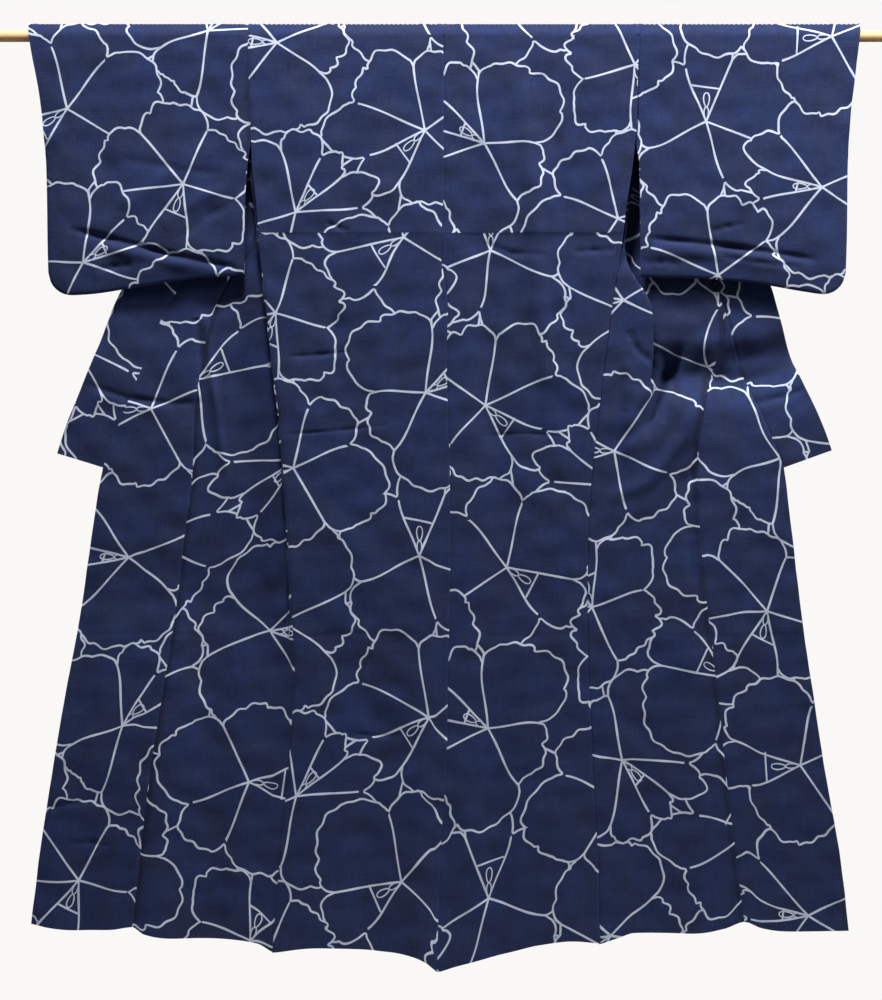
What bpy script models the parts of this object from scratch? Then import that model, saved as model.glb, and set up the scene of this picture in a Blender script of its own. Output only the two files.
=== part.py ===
"""A cotton yukata robe hung by a wooden rod through its sleeves, seen from its back.

Metres, +Z up. The origin is the middle of the rod, X runs along the rod, -Y is the side that the
robe's back faces and +Y the wall side. The fronts hang behind the back, folded outward, so that
their right side faces -Y beyond the side seams. A drop is a distance below the rod's axis, and an
out distance is measured sideways from the middle, to either side.
"""

import math

import bpy
import numpy as np

# Driving sizes
ROD_LENGTH = 1.52
ROD_RADIUS = 0.009
ROD_SIDES = 24
CLOTH = 0.0012  # wall of one layer
COLLAR_WALL = 0.0018  # the collar is folded cloth
SEAM_GAP = 0.0003
HEM_DROP = 1.43  # the hem where it hangs level
SLEEVE_SEAM_DROP = 0.15  # the sleeve is sewn to the body down to here
SIDE_SEAM_TOP = 0.385  # the side seam starts here
NECK_HALF = 0.09  # half the neck opening, along the shoulder
NECK_SEAM_DROP = 0.004  # the back neck seam, on the wall side of the rod
BACK_DEPTH = -0.0101  # the back's layer, just in front of the rod
FRONT_DEPTH = 0.0101  # the front's layer, just behind the rod
FIRST_TURN = 0.008  # cloth length of the turn at the side seam
ROLL_AT_NECK = 0.050  # cloth length of the turn where the front folds outward
ROLL_BELOW = 0.026
ROLL_SETTLES = 0.25
CUFF_END = 0.19  # the cuff opening ends at this drop, with the seam below it
CORNER = 0.036  # the sleeve's rounded lower corner
SLEEVE_SWELL = 0.0060  # half the thickness of the sleeve's bag
SLEEVE_CLEARANCE = 0.006  # how much further back the folded front hangs behind a sleeve
COLLAR_AT_NECK = 0.055
COLLAR_LIFT = 0.6  # how far the collar stands away at the middle of the neck, in radians
COLLAR_ROLLS_OVER = 0.20  # seam length over which it rolls outward
COLLAR_END = 0.69  # the drop where the collar ends
COLLAR_FULL_AT = 0.45  # seam length from the neck where the collar reaches its full width
KENSAKI = 0.17  # the top of the overlap panel, where it is a few millimetres wide
LEAST_COLUMN = 0.0022  # columns stand no closer than this
STEP = 0.0015  # cloth length of one step along a folded section

# The cloth over the rod: a pressed crease that stands above it and leans on its flanks
RIDGE = [
    # depth, height
    (-0.0101, 0.0000),
    (-0.0086, 0.0052),
    (-0.0045, 0.0132),
    (-0.0013, 0.0188),
    (0.0000, 0.0197),
    (0.0013, 0.0188),
    (0.0045, 0.0132),
    (0.0086, 0.0052),
    (0.0101, 0.0000),
]

# The centre back seam and the side edges of the back
BACK = [
    # drop, centre (to +X), left out, right out
    (0.000, 0.000, 0.3110, 0.3125),
    (0.070, 0.001, 0.3095, 0.3105),
    (0.137, 0.001, 0.3065, 0.3090),
    (0.200, 0.001, 0.3050, 0.3035),
    (0.275, 0.000, 0.2976, 0.2925),
    (0.342, -0.004, 0.2928, 0.2845),
    (0.387, 0.002, 0.2869, 0.2765),
    (0.432, 0.008, 0.2816, 0.2695),
    (0.504, 0.006, 0.2752, 0.2600),
    (0.601, 0.008, 0.2620, 0.2485),
    (0.694, 0.011, 0.2544, 0.2378),
    (0.811, 0.012, 0.2464, 0.2312),
    (0.930, 0.010, 0.2400, 0.2304),
    (1.010, 0.008, 0.2362, 0.2325),
    (1.080, 0.007, 0.2405, 0.2360),
    (1.157, 0.004, 0.2464, 0.2390),
    (1.243, -0.003, 0.2560, 0.2440),
    (1.315, -0.006, 0.2624, 0.2480),
    (1.430, -0.010, 0.2720, 0.2506),
]

# The fronts, as they hang. roll is the cloth that turns out past the side seam before it folds
# behind, fold the depth of the fold behind the back, turn how far that fold is closed, seam and
# edge the out distances of the overlap panel's seam and of its far edge, and lap how far that
# panel reaches behind the front, at the depth that behind gives.
FRONT_LEFT = [
    # drop, roll, fold, turn, seam, edge, lap, behind
    (0.000, 0.000, 0.2210, 1.0, 0.0400, 0.0420, 0.000, 0.0000),
    (0.100, 0.000, 0.1870, 1.0, 0.1440, 0.1640, 0.000, 0.0000),
    (0.200, 0.000, 0.1500, 1.0, 0.2230, 0.2560, 0.000, 0.0000),
    (0.300, 0.000, 0.1140, 1.0, 0.2900, 0.3440, 0.000, 0.0000),
    (0.445, 0.000, 0.0700, 1.0, 0.3710, 0.4510, 0.000, 0.0000),
    (0.517, 0.000, 0.0580, 1.0, 0.3870, 0.4790, 0.000, 0.0000),
    (0.600, 0.000, 0.0480, 1.0, 0.3985, 0.5130, 0.000, 0.0000),
    (0.690, 0.000, 0.0376, 1.0, 0.4016, 0.5456, 0.000, 0.0000),
    (0.806, 0.000, 0.0180, 1.0, 0.4160, 0.5648, 0.000, 0.0000),
    (0.880, 0.000, 0.0050, 0.9, 0.4245, 0.5755, 0.000, 0.0000),
    (0.960, 0.000, 0.0000, 0.5, 0.4350, 0.5875, 0.000, 0.0000),
    (1.057, 0.000, 0.0000, 0.2, 0.4500, 0.6048, 0.000, 0.0000),
    (1.200, 0.000, 0.0000, 0.0, 0.4710, 0.6272, 0.000, 0.0000),
    (1.290, 0.000, 0.0000, 0.0, 0.4810, 0.6410, 0.000, 0.0000),
    (1.430, 0.000, 0.0000, 0.0, 0.4955, 0.6580, 0.000, 0.0000),
]
FRONT_RIGHT = [
    # drop, roll, fold, turn, seam, edge, lap, behind
    (0.000, 0.000, 0.2225, 1.0, 0.0400, 0.0420, 0.000, 0.0018),
    (0.100, 0.000, 0.1650, 1.0, 0.1800, 0.1900, 0.010, 0.0018),
    (0.200, 0.000, 0.1220, 1.0, 0.2850, 0.3000, 0.040, 0.0018),
    (0.300, 0.000, 0.0720, 1.0, 0.3780, 0.3850, 0.060, 0.0035),
    (0.360, 0.012, 0.0500, 1.0, 0.4180, 0.4230, 0.066, 0.0035),
    (0.425, 0.056, 0.0360, 1.0, 0.4480, 0.4510, 0.070, 0.0035),
    (0.480, 0.070, 0.0340, 1.0, 0.4512, 0.4660, 0.066, 0.0035),
    (0.523, 0.074, 0.0300, 0.8, 0.4380, 0.4790, 0.056, 0.0035),
    (0.560, 0.070, 0.0180, 0.4, 0.4260, 0.4915, 0.046, 0.0035),
    (0.600, 0.060, 0.0060, 0.1, 0.4150, 0.5085, 0.034, 0.0035),
    (0.640, 0.050, 0.0000, 0.0, 0.4070, 0.5255, 0.020, 0.0025),
    (0.690, 0.040, 0.0000, 0.0, 0.4062, 0.5446, 0.000, 0.0018),
    (0.760, 0.000, 0.0000, 0.0, 0.4085, 0.5530, 0.000, 0.0000),
    (0.840, 0.000, 0.0000, 0.0, 0.4145, 0.5626, 0.000, 0.0000),
    (0.940, 0.000, 0.0000, 0.0, 0.4250, 0.5744, 0.000, 0.0000),
    (1.057, 0.000, 0.0000, 0.0, 0.4394, 0.5920, 0.000, 0.0000),
    (1.180, 0.000, 0.0000, 0.0, 0.4520, 0.6110, 0.000, 0.0000),
    (1.310, 0.000, 0.0000, 0.0, 0.4670, 0.6340, 0.000, 0.0000),
    (1.430, 0.000, 0.0000, 0.0, 0.4810, 0.6480, 0.000, 0.0000),
]

# How far below or above the level hem each place hangs
BACK_HEM = [
    # x, drop past the level hem
    (-0.2736, 0.0348),
    (-0.2080, 0.0273),
    (-0.0830, 0.0345),
    (-0.0450, 0.0417),
    (-0.0210, 0.0538),
    (-0.0110, 0.0650),
    (0.0180, 0.0577),
    (0.0560, 0.0481),
    (0.0940, 0.0385),
    (0.1540, 0.0225),
    (0.2030, 0.0161),
    (0.2506, 0.0200),
]
FRONT_HEM_LEFT = [
    # out, drop past the level hem
    (0.2720, 0.0340),
    (0.2990, 0.0200),
    (0.3500, 0.0135),
    (0.4300, 0.0125),
    (0.4770, 0.0050),
    (0.4955, -0.0060),
    (0.5300, -0.0015),
    (0.5840, 0.0001),
    (0.6300, -0.0047),
    (0.6580, -0.0111),
]
FRONT_HEM_RIGHT = [
    # out, drop past the level hem
    (0.2506, 0.0215),
    (0.2830, 0.0110),
    (0.3050, 0.0045),
    (0.3900, 0.0041),
    (0.4500, -0.0040),
    (0.4810, -0.0143),
    (0.5100, -0.0031),
    (0.5420, 0.0017),
    (0.6480, 0.0001),
]

# Soft folds that hang down the cloth. Each is a ridge towards -Y, or a trough where its height is
# negative, at x above and below, strongest at its lower end.
FOLDS = [
    # x at top, x at foot, half width, height, top drop, foot drop
    (-0.200, -0.215, 0.030, 0.0050, 0.55, 1.50),
    (-0.110, -0.120, 0.034, -0.0060, 0.60, 1.50),
    (-0.020, -0.035, 0.028, 0.0080, 0.70, 1.50),
    (0.090, 0.085, 0.036, -0.0050, 0.60, 1.50),
    (0.180, 0.180, 0.032, 0.0060, 0.60, 1.50),
    (-0.330, -0.380, 0.036, -0.0060, 0.65, 1.50),
    (-0.420, -0.470, 0.030, 0.0060, 0.75, 1.50),
    (-0.500, -0.580, 0.036, -0.0050, 0.75, 1.50),
    (0.320, 0.330, 0.034, -0.0070, 0.75, 1.50),
    (0.390, 0.420, 0.030, 0.0060, 0.75, 1.50),
    (0.470, 0.540, 0.036, -0.0050, 0.75, 1.50),
]

# The creases of the right front, where its roll runs out: slanted troughs across the cloth
CREASES = [
    # x and drop of one end, x and drop of the other, half width, height
    (0.3700, 0.510, 0.3300, 0.625, 0.012, -0.0075),
    (0.3950, 0.500, 0.3720, 0.600, 0.013, 0.0060),
    (0.3100, 0.560, 0.3000, 0.680, 0.015, 0.0040),
    (0.3880, 0.720, 0.3960, 0.860, 0.008, -0.0035),
]

# The sleeves: the outline from the outer side seam, and the bottom edge
SLEEVE_LEFT = [
    # drop, inner out, outer out
    (-0.020, 0.3113, 0.6630),
    (0.019, 0.3111, 0.6582),
    (0.092, 0.3088, 0.6451),
    (0.150, 0.3068, 0.6385),
    (0.203, 0.3118, 0.6344),
    (0.260, 0.3160, 0.6330),
    (0.337, 0.3172, 0.6320),
    (0.414, 0.3180, 0.6300),
]
SLEEVE_RIGHT = [
    # drop, inner out, outer out
    (-0.020, 0.3128, 0.6672),
    (0.054, 0.3112, 0.6592),
    (0.092, 0.3104, 0.6550),
    (0.150, 0.3088, 0.6493),
    (0.216, 0.3140, 0.6468),
    (0.307, 0.3158, 0.6459),
    (0.353, 0.3162, 0.6448),
    (0.414, 0.3164, 0.6420),
]
SLEEVE_BOTTOM = [
    # share of the width, left drop, right drop
    (0.00, 0.3813, 0.3845),
    (0.28, 0.3880, 0.3870),
    (0.55, 0.4010, 0.3945),
    (0.80, 0.4125, 0.4080),
    (0.90, 0.4140, 0.4125),
    (1.00, 0.4140, 0.4140),
]

# Columns across the body: the neck, then the shoulder, whose columns on the front become the roll
# past the side seam, its turn, the run behind the back, the turn outward and the run outward
NECK_COLUMNS = 3
ROLL_COLUMNS = {-1: 1, 1: 3}
FIRST_TURN_COLUMNS = 3
HIDDEN_COLUMNS = 2
TURN_COLUMNS = 5
VISIBLE_COLUMNS = 5
BACK_ROWS = (0.06, 0.14, 0.22, 0.30, 0.385, 0.47, 0.58, 0.69, 0.80, 0.91, 1.02, 1.13, 1.24, 1.34)
BACK_ROWS += (1.43,)
FRONT_ROWS = (0.03, 0.055, 0.08, 0.12, 0.17, 0.22, 0.27, 0.32, 0.36, 0.40, 0.43, 0.46, 0.49, 0.52)
FRONT_ROWS += (0.55, 0.58, 0.62, 0.655, 0.69, 0.77, 0.86, 0.96, 1.06, 1.16, 1.26, 1.35, 1.43)
BACK_EVENS_OUT = 0.35  # the drop below which the back's columns are even
OKUMI_COLUMNS = 5
SLEEVE_ROWS = 9
SLEEVE_COLUMNS = 9
COLLAR_ACROSS = 3
COLLAR_STEPS_NECK = 7

SIDES = {"left": -1, "right": 1}
COLOURS = {
    "cloth": ((0.021, 0.034, 0.127, 1.0), 0.88),
    "wood": ((0.72, 0.45, 0.22, 1.0), 0.55),
}


def smooth(value):
    """0 to 1, level at both ends."""
    value = min(1.0, max(0.0, value))
    return value * value * (3.0 - 2.0 * value)


def bag(value):
    """0 to 1 like the side of a filled bag: steep at its seam, level inside."""
    value = min(1.0, max(0.0, value))
    return math.sqrt(1.0 - (1.0 - value) ** 2)


def read(rows, column, place):
    """A column of a table at a place, on a smooth curve through the rows that adds no bumps."""
    places = [row[0] for row in rows]
    values = [row[column] for row in rows]
    if place <= places[0]:
        return values[0]
    if place >= places[-1]:
        return values[-1]
    slopes = [(b - a) / (q - p) for a, b, p, q in zip(values, values[1:], places, places[1:])]
    i = max(k for k, p in enumerate(places[:-1]) if p <= place)
    ends = []
    for k in (i, i + 1):
        before = slopes[max(k - 1, 0)]
        after = slopes[min(k, len(slopes) - 1)]
        ends.append(0.0 if before * after <= 0 else 2.0 * before * after / (before + after))
    span = places[i + 1] - places[i]
    u = (place - places[i]) / span
    start = values[i] * (1 + 2 * u) * (1 - u) ** 2 + span * ends[0] * u * (1 - u) ** 2
    finish = values[i + 1] * (3 - 2 * u) * u**2 - span * ends[1] * (1 - u) * u**2
    return start + finish


def fold_depth(x, drop):
    """How far the soft folds move the cloth along Y."""
    depth = 0.0
    for top_x, foot_x, half, height, top, foot in FOLDS:
        u = (drop - top) / (foot - top)
        if u > 0:
            across = (x - top_x - (foot_x - top_x) * u) / half
            depth -= height * smooth(u) * math.exp(-across * across)
    return depth


def crease_depth(x, drop):
    """How far the right front's creases move its cloth along Y."""
    depth = 0.0
    for x0, drop0, x1, drop1, half, height in CREASES:
        length = math.hypot(x1 - x0, drop1 - drop0)
        along = ((x - x0) * (x1 - x0) + (drop - drop0) * (drop1 - drop0)) / length**2
        across = ((x - x0) * (drop1 - drop0) - (drop - drop0) * (x1 - x0)) / length / half
        ends = smooth((along + 0.25) / 0.5) * smooth((1.25 - along) / 0.5)
        depth -= height * ends * math.exp(-across * across)
    return depth


def side_out(side, drop):
    """Out distance of the back's side edge."""
    return read(BACK, 2 if side < 0 else 3, drop)


def hem_shift(drop, at_hem):
    """Lower parts follow the hem's own line."""
    return at_hem * max(0.0, drop / HEM_DROP) ** 3


def back_depth(x, drop):
    settled = BACK_DEPTH + 0.003 * smooth(drop / 0.6)
    return settled + fold_depth(x, drop)


def back_point(side, share, drop):
    """A point of the back: share 0 at the centre seam, 1 at the side edge."""
    centre = read(BACK, 1, drop) * side
    out = centre + SEAM_GAP / 2 + (side_out(side, drop) - centre - SEAM_GAP / 2) * share
    x = side * out
    return (x, back_depth(x, drop), -drop - hem_shift(drop, read(BACK_HEM, 1, x)))


def front_rows(side):
    return FRONT_LEFT if side < 0 else FRONT_RIGHT


class Section:
    """The front at one drop: a path from its side edge, behind the back, and outward again."""

    def __init__(self, side, drop):
        rows = front_rows(side)
        self.side, self.drop = side, drop
        self.roll, self.fold, self.turn, self.seam, self.edge, self.lap, self.behind = (
            read(rows, column, drop) for column in range(1, 8)
        )
        below = smooth((drop - 0.25) / (SIDE_SEAM_TOP - 0.25))
        self.sewn = below
        self.start = side_out(side, drop) + 0.006 * smooth((drop - 0.15) / 0.05) * (1 - below)
        x = side * self.start
        sewn_depth = back_depth(x, drop) + CLOTH + SEAM_GAP
        self.depth = FRONT_DEPTH + (sewn_depth - FRONT_DEPTH) * below
        self.roll_length = ROLL_AT_NECK + (ROLL_BELOW - ROLL_AT_NECK) * smooth(drop / ROLL_SETTLES)
        self.trace()
        self.turn_start = self.first_end + self.fold
        turned = self.turn_start + self.roll_length
        lost = self.outs[self.step_at(turned)] - self.outs[0] - turned
        self.width = self.seam - self.start - lost
        self.edge_width = self.edge - self.start - lost
        self.turn_end = turned

    def heading(self, along):
        """The path's direction: 0 is inward, half a turn is outward."""
        first = self.sewn
        begun = smooth((along - self.roll) / FIRST_TURN) if along > self.roll else 0.0
        away = 1.0 - first * (1.0 - begun)
        back = smooth((along - self.first_end - self.fold) / self.roll_length)
        return math.pi * (1.0 - self.turn * (away - back))

    def trace(self):
        self.first_end = self.roll * self.sewn
        self.outs, self.depths = [self.start], [0.0]
        for k in range(int(0.75 / STEP)):
            heading = self.heading((k + 0.5) * STEP)
            self.outs.append(self.outs[-1] - math.cos(heading) * STEP)
            self.depths.append(self.depths[-1] + math.sin(heading) * STEP)

    def step_at(self, along):
        return min(len(self.outs) - 1, int(round(along / STEP)))

    def flat(self, along):
        """Out distance and depth of a place along the cloth, between two steps."""
        k = min(len(self.outs) - 2, max(0, int(along / STEP)))
        u = along / STEP - k
        out = self.outs[k] + (self.outs[k + 1] - self.outs[k]) * u
        return out, self.depths[k] + (self.depths[k + 1] - self.depths[k]) * u

    def point(self, along, behind=0.0, creased=False):
        out, depth = self.flat(along)
        x = self.side * out
        hem = FRONT_HEM_LEFT if self.side < 0 else FRONT_HEM_RIGHT
        low = hem_shift(self.drop, read(hem, 1, out))
        own = back_depth(self.side * self.start, self.drop)
        waves = fold_depth(x, self.drop) - (own - back_depth(self.side * self.start, 0.6))
        waves *= smooth((self.drop - 0.40) / 0.2) * smooth(along / 0.04)
        clear = smooth((out - 0.27) / 0.06) * (1 - smooth((self.drop - 0.41) / 0.15))
        clear *= SLEEVE_CLEARANCE * smooth((along - self.turn_start) / 0.03)
        if creased:
            waves += crease_depth(x, self.drop)
        return (x, self.depth + depth + behind + waves + clear, -self.drop - low)


def shares(count, first=0.0, last=1.0):
    return [first + (last - first) * k / count for k in range(count + 1)]


def front_stations(section):
    """Places along the cloth for the front's columns, close together where it turns."""
    ends = [0.0, section.first_end, section.first_end + FIRST_TURN, section.turn_start]
    ends += [section.turn_start + section.roll_length, section.width]
    counts = [ROLL_COLUMNS[section.side], FIRST_TURN_COLUMNS, HIDDEN_COLUMNS, TURN_COLUMNS]
    counts += [VISIBLE_COLUMNS]
    for k in range(1, len(ends) - 1):
        after = sum(counts[k:])
        lowest = ends[k - 1] + LEAST_COLUMN * counts[k - 1]
        ends[k] = min(max(ends[k], lowest), section.width - LEAST_COLUMN * after)
    places = []
    for first, last, count in zip(ends, ends[1:], counts):
        places += shares(count, first, last)[:-1]
    return places + [section.width]


def add_grid(name, rows, colour, wall):
    """One cloth wall from rows of points. A row may start with None where the cloth is cut away."""
    verts, index = [], {}
    for r, row in enumerate(rows):
        for c, point in enumerate(row):
            if point is not None:
                index[r, c] = len(verts)
                verts.append(point)
    faces = []
    for r in range(len(rows) - 1):
        for c in range(len(rows[0]) - 1):
            corners = [(r, c), (r, c + 1), (r + 1, c + 1), (r + 1, c)]
            if all(corner in index for corner in corners):
                faces.append([index[corner] for corner in corners])
    mesh = bpy.data.meshes.new(name)
    mesh.from_pydata(verts, [], faces)
    mesh.shade_smooth()
    piece = bpy.data.objects.new(name, mesh)
    collection.objects.link(piece)
    piece.data.materials.append(material(colour))
    shell = piece.modifiers.new("Wall", "SOLIDIFY")
    shell.thickness = wall
    shell.offset = 0.0
    return piece


def material(name):
    if name in bpy.data.materials:
        return bpy.data.materials[name]
    made = bpy.data.materials.new(name)
    made.use_nodes = True
    colour, roughness = COLOURS[name]
    shader = made.node_tree.nodes["Principled BSDF"]
    shader.inputs["Base Color"].default_value = colour
    shader.inputs["Roughness"].default_value = roughness
    shader.inputs["Metallic"].default_value = 0.0
    made.diffuse_color = colour
    return made


def make_rod():
    turned = (0.0, math.pi / 2, 0.0)
    bpy.ops.mesh.primitive_cylinder_add(
        vertices=ROD_SIDES, radius=ROD_RADIUS, depth=ROD_LENGTH, rotation=turned
    )
    rod = bpy.context.object
    rod.name = "rod"
    rod.data.shade_smooth()
    rod.data.set_sharp_from_angle(angle=math.radians(40))
    rod.data.materials.append(material("wood"))
    for old in list(rod.users_collection):
        old.objects.unlink(rod)
    collection.objects.link(rod)


def make_body(name, side):
    first = Section(side, 0.0)
    neck_share = NECK_HALF / first.start
    shoulder = [1.0 - place / first.start for place in reversed(front_stations(first))]
    top = shares(NECK_COLUMNS, 0.0, neck_share)[:-1] + shoulder
    even = shares(len(top) - 1)
    rows = []
    for drop in reversed(BACK_ROWS):
        blend = smooth(drop / BACK_EVENS_OUT)
        across = [t + (e - t) * blend for t, e in zip(top, even)]
        rows.append([back_point(side, share, drop) for share in across])
    across = top
    for depth, height in RIDGE:
        rows.append([(back_point(side, share, 0.0)[0], depth, height) for share in across])
    for drop in FRONT_ROWS:
        section = Section(side, drop)
        places = reversed(front_stations(section))
        points = [section.point(along, creased=True) for along in places]
        rows.append([None] * NECK_COLUMNS + points)
    if side < 0:
        rows = [row[::-1] for row in rows]
    return add_grid(name, rows, "cloth", CLOTH)


def make_okumi(name, side):
    drops = [drop for drop in FRONT_ROWS if drop >= KENSAKI]
    rows = []
    for drop in drops:
        section = Section(side, drop)
        lapped = max(section.width - section.lap, section.turn_end + 0.004)
        start = min(lapped, section.width) + SEAM_GAP
        end = max(section.edge_width, start + 0.004)
        places = shares(OKUMI_COLUMNS, start, end)
        rows.append([section.point(along, section.behind) for along in places])
    if side > 0:
        rows = [row[::-1] for row in rows]
    return add_grid(name, rows, "cloth", CLOTH)


def sleeve_edges(side, drop):
    """The inner edge is sewn to the body down to SLEEVE_SEAM_DROP and hangs free below."""
    rows = SLEEVE_LEFT if side < 0 else SLEEVE_RIGHT
    sewn = side_out(side, drop) + 2 * SEAM_GAP
    free = smooth((drop - SLEEVE_SEAM_DROP) / 0.05)
    return sewn + (read(rows, 1, drop) - sewn) * free, read(rows, 2, drop)


def sleeve_point(side, share, down, front):
    """share 0 at the body, 1 at the cuff; down 0 at the rod's height, 1 at the bottom."""
    rows = SLEEVE_LEFT if side < 0 else SLEEVE_RIGHT
    bottom = read(SLEEVE_BOTTOM, 1 if side < 0 else 2, share)
    width = read(rows, 2, 0.35) - read(rows, 1, 0.35)
    into_corner = max(0.0, 1.0 - (1.0 - share) * width / CORNER)
    bottom -= CORNER * (1.0 - math.sqrt(1.0 - into_corner**2))
    drop = bottom * down
    inner, outer = sleeve_edges(side, drop)
    out = inner + (outer - inner) * share
    closed = CLOTH / 2 + SEAM_GAP / 2
    swell = FRONT_DEPTH + (SLEEVE_SWELL - FRONT_DEPTH) * smooth(drop / 0.12)
    below = bag((bottom - drop) / 0.09)
    cuff = 1.0 - smooth((drop - CUFF_END + 0.05) / 0.06) * (1.0 - bag((outer - out) / 0.06))
    half = closed + (swell - closed) * below * cuff
    return (side * out, half if front else -half, -drop)


def make_sleeve(name, side):
    across = [math.sin(share * math.pi / 2) ** 0.85 for share in shares(SLEEVE_COLUMNS)]
    down = [1.0 - (1.0 - share) ** 1.4 for share in shares(SLEEVE_ROWS)]
    rows = [[sleeve_point(side, s, d, False) for s in across] for d in reversed(down[1:])]
    for depth, height in RIDGE:
        inner, outer = sleeve_edges(side, -height)
        rows.append([(side * (inner + (outer - inner) * s), depth, height) for s in across])
    rows += [[sleeve_point(side, s, d, True) for s in across] for d in down[1:]]
    if side < 0:
        rows = [row[::-1] for row in rows]
    return add_grid(name, rows, "cloth", CLOTH)


def collar_seam(side):
    """The collar's seam from the middle of the back neck to its end."""
    places = []
    for share in shares(COLLAR_STEPS_NECK, 0.0, 0.86):
        places.append(np.array((side * NECK_HALF * share, FRONT_DEPTH, -NECK_SEAM_DROP)))
    for drop in [drop for drop in FRONT_ROWS if drop <= COLLAR_END]:
        section = Section(side, drop)
        if drop < KENSAKI:
            places.append(np.array(section.point(section.width)))
        else:
            places.append(np.array(section.point(section.edge_width, section.behind)))
    return places


def collar_rows(side):
    seam = collar_seam(side)
    along = np.cumsum([0.0] + [np.linalg.norm(b - a) for a, b in zip(seam, seam[1:])])
    rows = []
    for k, place in enumerate(seam):
        before, after = seam[max(k - 1, 0)], seam[min(k + 1, len(seam) - 1)]
        run = (after - before) / np.linalg.norm(after - before)
        wallward = np.array((0.0, 1.0, 0.0))
        inward = np.cross(run, wallward) * -side
        inward /= np.linalg.norm(inward)
        lifted = COLLAR_LIFT + (math.pi - COLLAR_LIFT) * smooth(along[k] / COLLAR_ROLLS_OVER)
        reach = inward * math.cos(lifted) + wallward * math.sin(lifted)
        widest = 0.0765 if side < 0 else 0.081
        width = COLLAR_AT_NECK + (widest - COLLAR_AT_NECK) * smooth(along[k] / COLLAR_FULL_AT)
        gap = SEAM_GAP * (2.0 + 4.0 * smooth(1.0 - abs(along[k] - 0.5 * COLLAR_ROLLS_OVER) / 0.1))
        rows.append([place + reach * (gap + width * s) for s in shares(COLLAR_ACROSS)])
    return rows


def make_collar():
    left = collar_rows(-1)
    right = collar_rows(1)
    rows = [[tuple(point) for point in row] for row in reversed(left[1:])]
    rows += [[tuple(point) for point in row] for row in right]
    return add_grid("collar", rows, "cloth", COLLAR_WALL)


for old_object in list(bpy.data.objects):
    bpy.data.objects.remove(old_object)
collection = bpy.data.collections.new("yukata robe")
bpy.context.scene.collection.children.link(collection)

make_rod()
for side_name, side_sign in SIDES.items():
    make_body(f"body_{side_name}", side_sign)
    make_okumi(f"okumi_{side_name}", side_sign)
    make_sleeve(f"sleeve_{side_name}", side_sign)
make_collar()
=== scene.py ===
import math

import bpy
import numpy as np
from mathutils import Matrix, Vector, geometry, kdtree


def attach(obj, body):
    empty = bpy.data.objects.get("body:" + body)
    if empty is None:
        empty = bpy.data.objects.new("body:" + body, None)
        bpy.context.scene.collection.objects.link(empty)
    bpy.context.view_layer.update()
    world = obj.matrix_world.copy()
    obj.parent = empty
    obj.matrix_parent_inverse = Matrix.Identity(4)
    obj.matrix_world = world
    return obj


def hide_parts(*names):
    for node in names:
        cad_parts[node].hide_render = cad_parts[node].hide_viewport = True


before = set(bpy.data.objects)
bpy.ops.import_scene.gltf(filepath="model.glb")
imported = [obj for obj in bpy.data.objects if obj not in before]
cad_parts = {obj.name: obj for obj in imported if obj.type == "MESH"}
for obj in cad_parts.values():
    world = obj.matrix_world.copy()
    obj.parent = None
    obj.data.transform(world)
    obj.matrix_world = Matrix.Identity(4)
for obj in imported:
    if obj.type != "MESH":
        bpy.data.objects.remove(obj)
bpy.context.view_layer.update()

# The looks of a cotton yukata robe that hangs by a rod through its sleeves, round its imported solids.
# Metres, +Z up, -Y is the side that the robe's back faces. Each cut piece is worked out from the
# sizes below in flat cloth coordinates: across the bolt and along it. The print is drawn there as
# line work, so its lines are faces of the cloth.

# Sizes of the garment, as in the solids
ROD_LENGTH = 1.52
ROD_RADIUS = 0.009
CLOTH = 0.0012  # wall of one layer in the solids
SEAM_GAP = 0.0003
HEM_DROP = 1.43
SLEEVE_SEAM_DROP = 0.15
SIDE_SEAM_TOP = 0.385
NECK_HALF = 0.09
NECK_SEAM_DROP = 0.004
BACK_DEPTH = -0.0101
FRONT_DEPTH = 0.0101
FIRST_TURN = 0.008
ROLL_AT_NECK = 0.050
ROLL_BELOW = 0.026
ROLL_SETTLES = 0.25
CUFF_END = 0.19
CORNER = 0.036
SLEEVE_SWELL = 0.0060
SLEEVE_CLEARANCE = 0.006
COLLAR_AT_NECK = 0.055
COLLAR_WIDEST = {-1: 0.0765, 1: 0.081}
COLLAR_LIFT = 0.6
COLLAR_ROLLS_OVER = 0.20
COLLAR_END = 0.69
COLLAR_FULL_AT = 0.45
COLLAR_STEPS_NECK = 7
COLLAR_DROPS = (0.03, 0.055, 0.08, 0.12, 0.17, 0.22, 0.27, 0.32, 0.36, 0.40, 0.43, 0.46, 0.49, 0.52)
COLLAR_DROPS += (0.55, 0.58, 0.62, 0.655, 0.69)
KENSAKI = 0.17  # the top of the overlap panel
RIDGE = [
    # depth, height of the cloth over the rod
    (-0.0101, 0), (-0.0086, 0.0052), (-0.0045, 0.0132), (-0.0013, 0.0188), (0, 0.0197),
    (0.0013, 0.0188), (0.0045, 0.0132), (0.0086, 0.0052), (0.0101, 0),
]
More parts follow.
